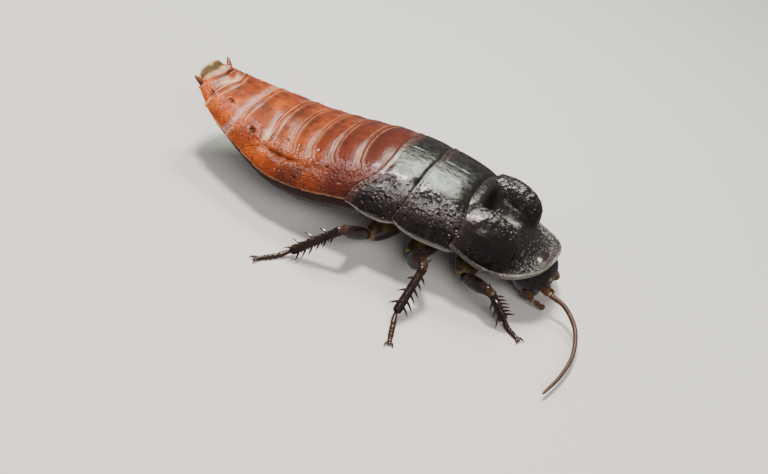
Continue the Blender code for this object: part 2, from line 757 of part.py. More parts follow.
def leg(place, points, host):
    """A leg in four nodes: coxa, femur, tibia with its spurs, and tarsus with its claws."""
    hip, bend, knee, ankle, toe = (Vector(p) for p in points)
    hip_normal = (bend - hip).normalized()
    bend_normal = joint_plane(hip, bend, knee)
    knee_normal = joint_plane(bend, knee, ankle)
    ankle_normal = joint_plane(knee, ankle, toe)
    flat = (knee - bend).cross(ankle - knee).normalized()
    wide, tall = COXA_SIZE
    coxa_sizes = ((0.0, wide, tall), (0.35, wide, tall), (0.75, wide * 0.75, tall * 0.85),
                  (1.0, wide * 0.5, tall * 0.7))

    def coxa(grow):
        root = hip - hip_normal * (1.0 + grow)
        return limb(f"coxa_{place}", root, bend, hip_normal, bend_normal, coxa_sizes,
                    Vector((1.0, 0.0, 0.0)), grow)
    made = [seat(host, coxa)]
    wide, tall = FEMUR_SIZE
    in_plane = flat.cross(knee - bend).normalized()
    femur_sizes = ((0.0, wide * 0.55, tall * 0.75), (0.2, wide * 0.9, tall * 0.95),
                   (0.5, wide, tall), (0.85, wide * 0.7, tall * 0.8), (1.0, wide * 0.6, tall * 0.75))
    made.append(limb(f"femur_{place}", bend, knee, bend_normal, knee_normal, femur_sizes, in_plane))
    wide, tall = TIBIA_SIZE
    tibia_sizes = ((0.0, wide * 0.95, tall), (0.12, wide * 0.85, tall * 0.9), (0.6, wide * 0.8, tall * 0.85),
                   (0.9, wide * 0.85, tall * 0.9), (1.0, wide * 0.7, tall * 0.75))
    shin = limb(f"tibia_{place}", knee, ankle, knee_normal, ankle_normal, tibia_sizes, flat)
    spurs = spikes("spur", spine_set(knee, ankle, flat, TIBIA_SIZE[1], SPINES_ALONG), SPINE_RADIUS, 0.06)
    made.append(joined(f"tibia_{place}", [shin] + spurs))
    made.append(tarsus(f"tarsus_{place}", ankle, toe, ankle_normal, Vector((0.0, 0.0, 1.0))))
    return made


def cercus(side, hosts):
    root = Vector((CERCUS_ROOT.x, side * CERCUS_ROOT.y, CERCUS_ROOT.z))
    tip = Vector((CERCUS_TIP.x, side * CERCUS_TIP.y, CERCUS_TIP.z))
    name = "cercus_left" if side > 0 else "cercus_right"

    def build(grow):
        sizes = ((0.0, 0.8), (0.35, 1.0), (0.75, 0.8), (1.0, 0.35))
        stations = [(root.lerp(tip, t), CERCUS_RADIUS * k + grow, CERCUS_RADIUS * k * 0.7 + grow)
                    for t, k in sizes]
        return tube(name, stations, Vector((0.0, 1.0, 0.0)), 10)
    for host in hosts:
        socket = build(GAP)
        cut(host, socket)
        remove(socket)
    return build(0.0)


def finish(parts, look, look_name):
    for part in parts:
        part.data.materials.clear()
        part.data.materials.append(material(look_name, look))
        part.data.shade_smooth()
        part.data.set_sharp_from_angle(angle=math.radians(50.0))


def set_on_floor():
    """Brings every solid to metres, with the floor at zero and the origin under the middle."""
    solids = [thing for thing in bpy.data.objects if thing.type == "MESH"]
    corners = np.array([vert.co for thing in solids for vert in thing.data.vertices])
    print("body frame bounds in mm:", corners.min(axis=0).round(2), corners.max(axis=0).round(2))
    place = Matrix.Diagonal((METRES, METRES, METRES, 1.0)) @ Matrix.Translation(
        (-MIDDLE[0], -MIDDLE[1], -FLOOR))
    for thing in solids:
        thing.data.transform(place)
        thing.data.update()


def main():
    clear_scene()
    plates = [back_plate(k) for k in range(len(PLATES))]
    for number in range(len(SIDE_LOBES)):
        plates[number] = joined(PLATES[number][0], [plates[number]] + side_lobes(number))
    finish(plates[:2], BLACK_BROWN, "thorax_plate")
    finish(plates[2:5], MAHOGANY, "abdomen_dark")
    finish(plates[5:], RUST, "abdomen_rust")
    shield = pronotum()
    horns = []
    for side, name in ((1.0, "horn_left"), (-1.0, "horn_right")):
        build = horn_block(side)
        horn = shield.copy()
        horn.data = shield.data.copy()
        bpy.context.scene.collection.objects.link(horn)
        inside = build(0.0)
        cut(horn, inside, "INTERSECT")
        remove(inside)
        horn.name = name
        horns.append(horn)
    for side in (1.0, -1.0):
        around = horn_block(side)(GAP)
        cut(shield, around)
        remove(around)
    finish([shield] + horns, BLACK_BROWN, "pronotum_black")
    chest = underside("thorax_underside", list(NECK_SECTIONS) + belly_sections(1, 2))
    rear = belly_sections(2, len(LINE) - 2)
    rear[0] = (rear[0][0] - GAP, *rear[0][1:])
    belly = underside("abdomen_underside", rear)
    skull = head()
    eyes = [seat(skull, eye(side)) for side in (1.0, -1.0)]
    feelers = antenna("right", ANTENNA_RIGHT, skull) + antenna("left", ANTENNA_LEFT, skull)
    palps = [palp(side, skull) for side in (1.0, -1.0)]
    finish([skull], BLACK_BROWN, "head_black")
    finish(eyes, EYE_BLACK, "eye_black")
    finish(feelers + palps, FEELER, "feeler_brown")
    legs = []
    for place, points in LEG_POINTS.items():
        legs += leg(place, points, chest)
    finish(legs, LEG_BROWN, "leg_brown")
    tail = [cercus(side, [belly, plates[-1], plates[-2]]) for side in (1.0, -1.0)]
    finish(tail, MAHOGANY, "cercus_red")
    finish([chest], OLIVE, "chest_olive")
    finish([belly], RUST, "belly_rust")
    set_on_floor()


main()
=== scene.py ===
# %% [markdown]
# # A Madagascar hissing cockroach, standing still
# A grown male at life size, as a museum shows it: black-brown thorax with two horns, rust-red abdomen,
# tail raised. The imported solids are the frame, and each piece below stands for some of them.
# Everything is measured in millimetres in the body's own frame: +X to the head, +Y to the animal's left,
# +Z up, with zero at the hind edge of the third thoracic plate, level with the side edges of the plates.

# %% Load the frame
import math
import random

import bmesh
import bpy
import numpy as np
from mathutils import Matrix, Vector, noise as lumps


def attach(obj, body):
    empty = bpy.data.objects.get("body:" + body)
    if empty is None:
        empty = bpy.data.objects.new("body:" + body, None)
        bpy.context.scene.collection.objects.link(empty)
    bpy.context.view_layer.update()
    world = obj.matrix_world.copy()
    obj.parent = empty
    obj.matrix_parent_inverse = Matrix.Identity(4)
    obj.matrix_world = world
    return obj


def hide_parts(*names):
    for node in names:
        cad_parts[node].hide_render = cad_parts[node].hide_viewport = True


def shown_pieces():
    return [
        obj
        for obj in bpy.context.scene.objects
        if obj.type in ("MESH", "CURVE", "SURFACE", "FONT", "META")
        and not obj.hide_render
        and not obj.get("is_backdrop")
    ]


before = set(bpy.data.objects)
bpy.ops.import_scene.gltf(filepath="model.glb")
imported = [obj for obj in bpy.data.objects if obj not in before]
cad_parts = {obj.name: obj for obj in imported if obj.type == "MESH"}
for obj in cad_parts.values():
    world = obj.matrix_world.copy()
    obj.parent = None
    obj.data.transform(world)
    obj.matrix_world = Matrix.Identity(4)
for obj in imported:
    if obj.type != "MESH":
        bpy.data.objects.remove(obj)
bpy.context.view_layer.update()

random.seed(11)

# %% [markdown]
# ## From the body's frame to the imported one
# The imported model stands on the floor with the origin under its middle, so every piece is made in
# millimetres and then scaled and moved once, in its vertices.

# %% Millimetres to the frame
MM = 0.001
MIDDLE = Vector((1.1, -0.08, -11.0))
FLOOR = -11.0
TO_FRAME = Matrix.Diagonal((MM, MM, MM, 1.0)) @ Matrix.Translation(-MIDDLE)


def smoothstep(low, high, value):
    t = min(max((value - low) / (high - low), 0.0), 1.0)
    return t * t * (3.0 - 2.0 * t)


def falling(low, high, value):
    return 1.0 - smoothstep(low, high, value)


def bell(value, centre, width):
    return math.exp(-((value - centre) / width) ** 2)


def spline(x, xs, ys):
    """A smooth curve through given places, with the slope at each from its neighbours."""
    x = min(max(x, xs[0]), xs[-1])
    k = min(int(np.searchsorted(xs, x, side="right")) - 1, len(xs) - 2)
    k = max(k, 0)
    slopes = []
    for n in (k, k + 1):
        a, b = max(n - 1, 0), min(n + 1, len(xs) - 1)
        slopes.append((ys[b] - ys[a]) / (xs[b] - xs[a]))
    step = xs[k + 1] - xs[k]
    t = (x - xs[k]) / step
    return ((2 * t ** 3 - 3 * t * t + 1) * ys[k] + (t ** 3 - 2 * t * t + t) * step * slopes[0]
            + (3 * t * t - 2 * t ** 3) * ys[k + 1] + (t ** 3 - t * t) * step * slopes[1])


# %% [markdown]
# ## Camera, floor and light
# The camera is the one that took the photo, found by fitting the plate edges: above the animal's right
# side and a little ahead of it. The floor is pale and plain, and isn't mirrored in the shell, because in
# the photo the lower sides are nearly black. A broad soft light above makes the grey-green reflections on
# the thorax, a lamp and a small spark make the sharp glints, and two broad fills that aren't mirrored
# either open the shadows.

# %% Camera
CAMERA_PLACE = Vector((51.3, -167.0, 103.1))
CAMERA_RIGHT = Vector((0.8747, 0.4238, 0.2352))
CAMERA_UP = Vector((-0.4227, 0.4295, 0.798))
CAMERA_BACK = Vector((0.2372, -0.7974, 0.5548))
camera = bpy.data.objects.new("camera", bpy.data.cameras.new("camera"))
bpy.context.scene.collection.objects.link(camera)
turn = Matrix((CAMERA_RIGHT, CAMERA_UP, CAMERA_BACK)).transposed().to_4x4()
camera.matrix_world = Matrix.Translation((CAMERA_PLACE - MIDDLE) * MM) @ turn
camera.data.sensor_width = 36.0
camera.data.lens = 53.0
camera.data.clip_start = 0.01
camera.data.clip_end = 20.0
bpy.context.scene.camera = camera
print("camera at", [round(v, 4) for v in camera.location])

# %% Floor and lights
bpy.ops.mesh.primitive_plane_add(size=6.0)
floor = bpy.context.object
floor.name = "floor"
floor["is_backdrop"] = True
floor_look = bpy.data.materials.new("floor")
floor_look.use_nodes = True
floor_shader = floor_look.node_tree.nodes["Principled BSDF"]
floor_shader.inputs["Base Color"].default_value = (0.55, 0.53, 0.50, 1.0)
floor_shader.inputs["Roughness"].default_value = 0.75
floor.data.materials.append(floor_look)
floor.visible_glossy = False


def area_light(name, place, size, power, colour):
    """A rectangular light that faces the body, with its place in millimetres in the body's frame."""
    lamp = bpy.data.objects.new(name, bpy.data.lights.new(name, "AREA"))
    lamp.data.shape = "RECTANGLE"
    lamp.data.size, lamp.data.size_y = size[0] * MM, size[1] * MM
    lamp.data.energy = power
    lamp.data.color = colour
    facing = (-Vector(place)).normalized().to_track_quat("-Z", "Y").to_matrix().to_4x4()
    lamp.matrix_world = Matrix.Translation((Vector(place) - MIDDLE) * MM) @ facing
    bpy.context.scene.collection.objects.link(lamp)
    return lamp


area_light("window", (-36, 160, 280), (110, 120), 1.0, (0.87, 1.0, 0.82))
area_light("lamp", (-75, 5, 330), (60, 60), 2.0, (1.0, 0.87, 0.88))
area_light("spark", (78, -190, 160), (18, 18), 0.045, (1.0, 0.96, 0.94))
for fill in (area_light("front", (220, -250, 260), (260, 200), 1.5, (1.0, 0.97, 0.93)),
             area_light("side", (-260, -230, 140), (220, 160), 0.4, (0.95, 0.97, 1.0))):
    fill.visible_glossy = False
world = bpy.data.worlds.new("studio")
world.use_nodes = True
world.node_tree.nodes["Background"].inputs["Color"].default_value = (0.78, 0.80, 0.82, 1.0)
world.node_tree.nodes["Background"].inputs["Strength"].default_value = 0.22
bpy.context.scene.world = world

# %% [markdown]
# ## How pieces are made
# A plate is a thin shell: a grid whose upper side follows one function and whose lower side another.
# A limb, the head or the belly is a grid rolled up round a line. Both are closed, and both keep a few
# numbers on each vertex, which the finishes read: how near it is to a pale rim, and a shade.

# %% Grids into shells and limbs
SHARP_ANGLE = math.radians(40.0)
AHEAD, LEFT, UP = Vector((1.0, 0.0, 0.0)), Vector((0.0, 1.0, 0.0)), Vector((0.0, 0.0, 1.0))
HANDS = ((1.0, "left"), (-1.0, "right"))


def tagged(bm, names):
    return {name: bm.verts.layers.float.new(name) for name in names}


def set_tags(vert, layers, tags):
    for name, value in tags.items():
        vert[layers[name]] = value


def shell(rows, columns, top, bottom, tags):
    """A closed shell. top(u, v) and bottom(u, v) give a place and the numbers for the finish."""
    bm = bmesh.new()
    layers = tagged(bm, tags)
    bmesh.ops.create_grid(bm, x_segments=rows, y_segments=columns, size=0.5)
    below = bmesh.ops.extrude_face_region(bm, geom=list(bm.faces), use_keep_orig=True)["geom"]
    below = {item for item in below if isinstance(item, bmesh.types.BMVert)}
    for vert in bm.verts:
        rule = bottom if vert in below else top
        place, values = rule(vert.co.x + 0.5, vert.co.y + 0.5)
        vert.co = place
        set_tags(vert, layers, values)
    return bm


def rolled(rows, sides, rule):
    """A closed skin: a grid rolled up round a line. rule(u, v) gives a place and its numbers."""
    bm = bmesh.new()
    layers = tagged(bm, ("rim", "shade"))
    bmesh.ops.create_grid(bm, x_segments=rows, y_segments=sides, size=0.5)
    for vert in bm.verts:
        place, values = rule(vert.co.x + 0.5, vert.co.y + 0.5)
        vert.co = place
        set_tags(vert, layers, values)
    bmesh.ops.remove_doubles(bm, verts=bm.verts, dist=1e-4)
    bmesh.ops.holes_fill(bm, edges=[edge for edge in bm.edges if edge.is_boundary])
    return bm


def put_together(pieces):
    """One bmesh that holds several closed ones side by side."""
    whole = bmesh.new()
    for bm in pieces:
        mesh = bpy.data.meshes.new("part")
        bmesh.ops.recalc_face_normals(bm, faces=bm.faces)
        bm.to_mesh(mesh)
        bm.free()
        whole.from_mesh(mesh)
        bpy.data.meshes.remove(mesh)
    return whole


def piece(bm, name, look, slot, nodes):
    """The finished object: in the frame, smooth, and standing for its CAD nodes."""
    if not isinstance(bm, bmesh.types.BMesh):
        bm = put_together(bm)
    bmesh.ops.recalc_face_normals(bm, faces=bm.faces)
    bmesh.ops.transform(bm, matrix=TO_FRAME, verts=bm.verts)
    mesh = bpy.data.meshes.new(name)
    bm.to_mesh(mesh)
    bm.free()
    made = bpy.data.objects.new(name, mesh)
    bpy.context.scene.collection.objects.link(made)
    mesh.materials.append(look)
    mesh.shade_smooth()
    mesh.set_sharp_from_angle(angle=SHARP_ANGLE)
    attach(made, "root")
    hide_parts(*nodes)
    print(f"{name}: {len(mesh.polygons)} faces")


# %% [markdown]
# ## Finishes
# The shell of an insect is a hard glossy skin, brown to black where it is thick and rust-red where it is
# thin, so each finish is a glossy skin with mottled colour, fine pits as bumps, and a pale edge where a
# plate ends. All the patterns are made from the place on the model or from the numbers on its vertices.

# %% Finish helpers
class Finish:
    """A Principled material with short names for the nodes that it is made of."""

    def __init__(self, name, colour):
        self.colour = colour
        self.material = bpy.data.materials.new(name)
        self.material.use_nodes = True
        self.tree = self.material.node_tree
        self.shader = self.tree.nodes["Principled BSDF"]
        self.place = self.new("ShaderNodeTexCoord").outputs["Object"]

    def new(self, kind):
        return self.tree.nodes.new(kind)

    def put(self, value, socket):
        if isinstance(value, bpy.types.NodeSocket):
            self.tree.links.new(value, socket)
        elif socket.type == "RGBA":
            socket.default_value = (*value, 1.0)
        else:
            socket.default_value = value

    def set(self, node, **numbers):
        """Fixed values for a node's sockets, with _ for the spaces in their names."""
        for key, number in numbers.items():
            node.inputs[key.replace("_", " ")].default_value = number

    def stretched(self, scale):
        node = self.new("ShaderNodeMapping")
        self.set(node, Scale=scale)
        self.put(self.place, node.inputs["Vector"])
        return node.outputs["Vector"]

    def noise(self, per_mm, detail=3.0, rough=0.55, scale=(1.0, 1.0, 1.0)):
        node = self.new("ShaderNodeTexNoise")
        self.put(self.stretched(scale), node.inputs["Vector"])
        self.set(node, Scale=per_mm / MM, Detail=detail, Roughness=rough)
        return node.outputs["Fac"]

    def cells(self, per_mm):
        node = self.new("ShaderNodeTexVoronoi")
        self.put(self.stretched((1.0, 1.0, 1.0)), node.inputs["Vector"])
        self.set(node, Scale=per_mm / MM)
        return node.outputs["Distance"]

    def tag(self, name):
        node = self.new("ShaderNodeAttribute")
        node.attribute_name = name
        return node.outputs["Fac"]

    def axis(self, which):
        node = self.new("ShaderNodeSeparateXYZ")
        self.put(self.place, node.inputs["Vector"])
        return node.outputs[which]

    def span(self, value, low, high, to_low=0.0, to_high=1.0):
        node = self.new("ShaderNodeMapRange")
        node.interpolation_type = "SMOOTHSTEP"
        self.put(value, node.inputs["Value"])
        self.set(node, From_Min=low, From_Max=high, To_Min=to_low, To_Max=to_high)
        return node.outputs["Result"]

    def math(self, operation, a, b=0.0):
        node = self.new("ShaderNodeMath")
        node.operation = operation
        self.put(a, node.inputs[0])
        self.put(b, node.inputs[1])
        return node.outputs["Value"]

    def paint(self, share, colour):
        """One more layer of colour, where share is high."""
        node = self.new("ShaderNodeMix")
        node.data_type = "RGBA"
        self.put(share, node.inputs["Factor"])
        self.put(self.colour, node.inputs[6])
        self.put(colour, node.inputs[7])
        self.colour = node.outputs[2]

    def mottle(self, per_mm, detail, low, high, colour):
        """Patches of colour where a noise is high."""
        self.paint(self.span(self.noise(per_mm, detail), low, high), colour)

    def bumps(self, *layers):
        """Bumps of (height, strength, depth in mm), each over the last."""
        normal = None
        for height, strength, depth in layers:
            node = self.new("ShaderNodeBump")
            self.set(node, Strength=strength, Distance=depth * MM)
            self.put(height, node.inputs["Height"])
            if normal:
                self.put(normal, node.inputs["Normal"])
            normal = node.outputs["Normal"]
        self.put(normal, self.shader.inputs["Normal"])

    def surface(self, roughness, coat=0.0, coat_roughness=0.08, specular=0.5):
        self.put(self.colour, self.shader.inputs["Base Color"])
        self.put(roughness, self.shader.inputs["Roughness"])
        self.set(self.shader, Coat_Weight=coat, Coat_Roughness=coat_roughness, Specular_IOR_Level=specular, IOR=1.5)
        return self.material


# %% The finishes themselves
def thorax_finish():
    """Black-brown shell: smooth discs, coarse pits where the shade is high, a pale thin rim that is partly a painted
    highlight on the middle seam and the front lip.
    """
    f = Finish("thorax_shell", (0.005, 0.004, 0.0035))
    shade = f.tag("shade")
    f.mottle(0.22, 4.0, 0.38, 0.68, (0.011, 0.0075, 0.006))
    f.paint(f.math("MULTIPLY", shade, f.span(f.noise(0.9), 0.4, 0.7)), (0.019, 0.011, 0.009))
    f.paint(f.math("MULTIPLY", f.tag("smooth"), 0.85), (0.060, 0.022, 0.014))
    # Pale rims; along the middle seam and the front lip of the shield partly a painted highlight
    f.paint(f.tag("rim"), (0.17, 0.16, 0.14))
    pits = f.span(f.cells(1.1), 0.10, 0.45)
    pits = f.math("MAXIMUM", pits, f.math("SUBTRACT", 1.0, shade))
    rugged = f.math("MULTIPLY", shade, f.noise(1.5, 3.0, 0.6))
    streaks = f.noise(0.8, 4.0, 0.6, scale=(0.6, 1.6, 1.0))
    f.bumps((streaks, 0.45, 0.3), (pits, 0.95, 0.34), (rugged, 0.7, 0.6), (f.noise(5.0, 2.0), 0.14, 0.05))
    rough = f.span(f.noise(0.9, 4.0), 0.35, 0.65, 0.17, 0.36)
    return f.surface(rough, coat=0.1, coat_roughness=0.12, specular=0.6)


def abdomen_finish():
    """Rust-red shell, darker to the thorax and along each hind edge, with a thin pale rim, painted shade in the pits
    and creases, and a painted highlight on the sixth plate.
    """
    f = Finish("abdomen_shell", (0.42, 0.082, 0.011))
    f.paint(f.span(f.axis("X"), -0.034, 0.002), (0.070, 0.015, 0.009))
    f.paint(f.span(f.noise(0.17, 3.0), 0.42, 0.62, 0.0, 0.55), (0.095, 0.016, 0.010))
    f.paint(f.span(f.noise(0.5, 5.0, 0.6), 0.42, 0.64, 0.0, 0.55), (0.060, 0.012, 0.008))
    shade = f.tag("shade")
    veins = f.span(f.noise(1.6, 3.0, scale=(1.0, 0.35, 0.35)), 0.3, 0.7, 0.45, 1.0)
    f.paint(f.math("MULTIPLY", f.tag("smooth"), veins), (0.44, 0.27, 0.24))
    # Dark tones, with painted shade in the pits and in the creases
    f.paint(f.tag("dark"), (0.030, 0.010, 0.008))
    # Pale rims, patchy with wear; on the sixth plate the rim also carries a painted highlight
    wear_and_glint = f.span(f.noise(0.45, 3.0), 0.36, 0.6, 0.3, 1.0)
    f.paint(f.math("MULTIPLY", f.tag("rim"), wear_and_glint), (0.68, 0.42, 0.25))
    grains = f.span(f.cells(1.7), 0.10, 0.40)
    grains = f.math("MAXIMUM", grains, f.math("SUBTRACT", 1.0, shade))
    rugged = f.math("MULTIPLY", shade, f.noise(1.6, 3.0, 0.6))
    wavy = f.noise(0.7, 3.0, scale=(1.0, 0.6, 1.0))
    f.bumps((wavy, 0.3, 0.25), (grains, 0.75, 0.22), (rugged, 0.6, 0.45), (f.noise(5.5, 2.0), 0.14, 0.05))
    rough = f.span(shade, 0.0, 0.5, 0.25, 0.14)
    return f.surface(rough, specular=0.27)


def skin_finish():
    """Soft skin between the legs and at the neck: olive-brown with yellow folds."""
    f = Finish("soft_skin", (0.11, 0.078, 0.022))
    f.mottle(0.5, 4.0, 0.36, 0.56, (0.030, 0.018, 0.010))
    f.paint(f.tag("shade"), (0.026, 0.014, 0.009))
    f.bumps((f.noise(1.1, 4.0, scale=(2.0, 0.7, 1.0)), 0.5, 0.2), (f.noise(5.0, 2.0), 0.15, 0.05))
    return f.surface(0.45)


def leg_finish():
    """Dark brown shell of the legs, redder where it is thin, with coarse pits."""
    f = Finish("leg_shell", (0.010, 0.006, 0.005))
    f.mottle(0.5, 4.0, 0.4, 0.66, (0.026, 0.012, 0.008))
    f.paint(f.tag("rim"), (0.060, 0.030, 0.016))
    f.paint(f.tag("shade"), (0.050, 0.021, 0.012))
    f.bumps((f.cells(2.2), 0.25, 0.08), (f.noise(3.0, 3.0), 0.25, 0.08))
    return f.surface(f.span(f.noise(1.0, 3.0), 0.3, 0.7, 0.18, 0.34), coat=0.25, coat_roughness=0.12)


def eye_finish():
    """Black eyes with fine facets."""
    f = Finish("eye_facets", (0.006, 0.006, 0.008))
    f.bumps((f.cells(9.0), 0.35, 0.03))
    return f.surface(0.16, coat=0.5, coat_roughness=0.06)


def plain_finish(name, colour, mottle, tags, bumps, roughness, **gloss):
    """One mottle over a colour, a layer for each tag, and bumps of (per mm, detail, strength, depth)."""
    f = Finish(name, colour)
    f.mottle(*mottle)
    for tag, paint in tags.items():
        f.paint(f.tag(tag), paint)
    f.bumps(*[(f.noise(per_mm, detail), strength, depth) for per_mm, detail, strength, depth in bumps])
    return f.surface(roughness, **gloss)


THORAX, ABDOMEN, SKIN, LEG, EYE = thorax_finish(), abdomen_finish(), skin_finish(), leg_finish(), eye_finish()
# The last plate: cream with an olive-brown band across it
TAIL = plain_finish(
    "tail_plate_shell", (0.34, 0.20, 0.075), (0.7, 4.0, 0.4, 0.62, (0.19, 0.088, 0.030)),
    {"dark": (0.070, 0.038, 0.015), "rim": (0.56, 0.45, 0.27)},
    [(0.9, 3.0, 0.2, 0.15), (5.0, 2.0, 0.12, 0.04)], 0.42, specular=0.1)
# Red-brown belly plates, darker to the sides, with a paler edge where one slips under the next
BELLY = plain_finish(
    "belly_shell", (0.060, 0.018, 0.010), (0.3, 4.0, 0.38, 0.66, (0.030, 0.011, 0.007)),
    {"shade": (0.020, 0.009, 0.006), "rim": (0.30, 0.15, 0.075)},
    [(1.0, 3.0, 0.25, 0.12), (5.0, 2.0, 0.1, 0.04)], 0.33, coat=0.15, coat_roughness=0.15)
# The broad upper joints: dark, with olive-yellow patches at their ends
COXA = plain_finish(
    "coxa_shell", (0.018, 0.011, 0.008), (0.35, 4.0, 0.50, 0.62, (0.070, 0.046, 0.016)),
    {"rim": (0.19, 0.135, 0.04)},
    [(1.4, 3.0, 0.3, 0.12), (5.0, 2.0, 0.12, 0.04)], 0.34, coat=0.15, coat_roughness=0.15)
# Smooth glossy black, brown at the mouth
HEAD = plain_finish(
    "head_shell", (0.010, 0.007, 0.007), (0.4, 3.0, 0.4, 0.7, (0.024, 0.013, 0.010)),
    {"shade": (0.105, 0.040, 0.016), "rim": (0.36, 0.24, 0.11)},
    [(0.9, 3.0, 0.15, 0.12), (6.0, 2.0, 0.1, 0.03)], 0.2, coat=0.2, coat_roughness=0.1)
# Feelers and palps: brown rings, darker at their joints
FEELER = plain_finish(
    "feeler_rings", (0.078, 0.034, 0.016), (1.2, 3.0, 0.4, 0.65, (0.044, 0.020, 0.010)),
    {"shade": (0.024, 0.012, 0.008), "rim": (0.42, 0.30, 0.15)}, [(6.0, 3.0, 0.3, 0.05)], 0.42)
# Dark red tail feelers
CERCUS = plain_finish(
    "cercus_shell", (0.21, 0.042, 0.020), (0.9, 3.0, 0.4, 0.65, (0.085, 0.020, 0.013)),
    {"shade": (0.035, 0.012, 0.009)}, [(5.0, 3.0, 0.3, 0.05)], 0.36, coat=0.1)
print("finishes:", len(bpy.data.materials))

# %% [markdown]
# ## The line of the back
# The back is an arch that changes along the body. Each station is the hind edge of a plate: its place
# along the body, the height of the side edges, half the width, and the height of the arch. The tail
# curls up, and each section leans with the line, so that the plates fan out over the bend.

# %% Stations of the back
STATIONS = [
    ("neck", 18.8, -1.2, 11.2, 5.2, 18.4),
    ("pronotum", 14.6, 0.2, 11.3, 5.9, 18.4),
    ("mesonotum", 7.4, 0.3, 12.7, 6.5, -0.8),
    ("metanotum", 0.0, 0.0, 12.9, 6.7, -6.0),
    ("tergite_1", -4.7, -0.8, 13.2, 6.6, -11.1),
    ("tergite_2", -9.2, -1.8, 13.6, 6.6, -10.6),
    ("tergite_3", -13.9, -2.5, 13.7, 6.4, -5.4),
    ("tergite_4", -19.1, -2.7, 13.1, 6.1, 3.1),
    ("tergite_5", -23.9, -2.0, 11.7, 5.6, 10.1),
    ("tergite_6", -28.6, -1.0, 10.0, 4.8, 13.3),
    ("tergite_7", -34.0, 0.4, 7.8, 3.8, 20.2),
    ("tergite_8_9", -37.5, 2.1, 5.7, 2.7, 27.6),
    ("supra_anal_plate", -40.7, 3.9, 2.9, 1.5, 29.4),
]
BACK = STATIONS[::-1]
XS = [s[1] for s in BACK]
COLUMNS = [[s[n] for s in BACK] for n in (2, 3, 4, 5)]


def section(x):
    """Side edge height, half width, arch height and lean in radians at a place along the body."""
    z, wide, high, lean = (spline(x, XS, column) for column in COLUMNS)
    return z, wide, high, math.radians(lean)


def arch(x, angle, offset):
    """A place on the arch: the angle runs from the right edge over the top to the left edge."""
    z, wide, high, lean = section(x)
    up = (high + offset) * math.sin(angle)
    return Vector((x + up * math.sin(lean), -(wide + offset) * math.cos(angle), z + up * math.cos(lean)))


# %% [markdown]
# ## Plates of the back
# Each plate lies over the front of the next. On the real insect the hind edge swings forward beside the
# middle and then back in a rounded lobe at the side, with a crease above the lobe. The plate is a thin
# curved shell with a thickened pale hind rim, made as a grid between its own edge and the one before it.

# %% Hind edges of the plates
# How far each hind edge lies ahead of its station, at these shares of the half width from the middle out
SHARES = [0.0, 0.35, 0.6, 0.77, 0.87, 0.95, 1.0]
HIND_EDGES = {
    "pronotum": [-0.8, -0.5, 0.3, 1.0, 1.5, 1.8, 2.0],
    "mesonotum": [0.1, -0.2, -0.2, -0.4, -0.4, -0.8, -1.4],
    "metanotum": [0.9, 1.1, 0.9, 0.1, -1.2, -2.2, -2.9],
    "tergite_1": [0.2, 0.4, 1.0, 1.5, -2.0, -2.2, -1.8],
    "tergite_2": [0.0, 0.2, 0.8, 1.5, -2.4, -2.4, -1.9],
    "tergite_3": [0.1, 0.3, 0.9, 1.6, -1.9, -1.9, -1.5],
    "tergite_4": [0.4, 0.8, 1.7, 2.4, -2.7, -3.1, -2.6],
    "tergite_5": [1.0, 1.1, 1.9, 2.2, 1.8, 0.2, -1.0],
    "tergite_6": [-0.3, -0.4, -0.4, -0.3, -0.2, -0.3, -0.6],
    "tergite_7": [-1.1, -1.7, -2.0, -2.1, -2.0, -1.9, -1.7],
    "tergite_8_9": [-0.7, -0.9, -1.2, -1.4, -1.4, -1.3, -1.2],
}
PLACE_OF = {s[0]: s[1] for s in STATIONS}
ORDER = [s[0] for s in STATIONS if s[0] != "neck"]


def hind_edge(name, share):
    return PLACE_OF[name] + spline(share, SHARES, HIND_EDGES[name])


# Depth of the crease above each side lobe, which also sets how much painted shade darkens it
CREASES = {"tergite_1": 0.06, "tergite_2": 0.1, "tergite_3": 0.16, "tergite_4": 0.6, "tergite_5": 0.35}
# How dark the side lobes are along the body, beside the rest of the plate
LOBE_TONES = ([-16.4, -15.4, -12.8, -10.6, -8.4, -5.8, -2.0], [0.0, 0.6, 0.6, 0.08, 0.08, 0.5, 0.5])
# Pits of the back: share of the half width, place along the body, radius and depth
PITS = {
    "tergite_8_9": [(0.82, -36.3, 0.5, 0.3)],
    "tergite_7": [(0.63, -32.6, 0.75, 0.42)],
    "tergite_6": [(0.79, -25.4, 0.8, 0.46)],
    "tergite_5": [(0.6, -18.1, 0.5, 0.28), (0.9, -20.6, 0.45, 0.2)],
    "tergite_4": [(0.62, -14.9, 0.4, 0.14)],
    "tergite_3": [(0.97, -12.8, 0.5, 0.22), (0.6, -10.7, 0.4, 0.14)],
    "tergite_2": [(0.8, -7.9, 0.45, 0.18)],
    "tergite_1": [(0.93, -4.6, 0.45, 0.16)],
}
# Lobes that hang from the side edges of the two thoracic plates: depth along the body
DROOP = {
    "mesonotum": ([5.9, 6.6, 7.6, 9.5, 11.3, 13.2, 15.0, 16.7, 18.8],
                  [0.0, 0.6, 1.3, 2.0, 2.45, 2.6, 2.4, 1.8, 0.2]),
    "metanotum": ([-3.0, -2.0, 0.0, 2.0, 4.0, 5.4, 7.0, 8.6], [0.0, 0.35, 1.2, 1.65, 1.6, 1.3, 0.8, 0.1]),
}
OVERHANG = 0.045
# How strong the smooth pale band behind the plate before is, if it isn't the usual one
PALE_BANDS, USUAL_BAND = {"tergite_7": 0.6, "tergite_8_9": 0.15, "tergite_6": 0.4}, 0.16
# How far a plate reaches under the one before it, and its thickness where it shows and where it doesn't
TUCK, SHORT_TUCK, WALL, HIDDEN_WALL = 2.4, 1.8, 0.24, 0.74


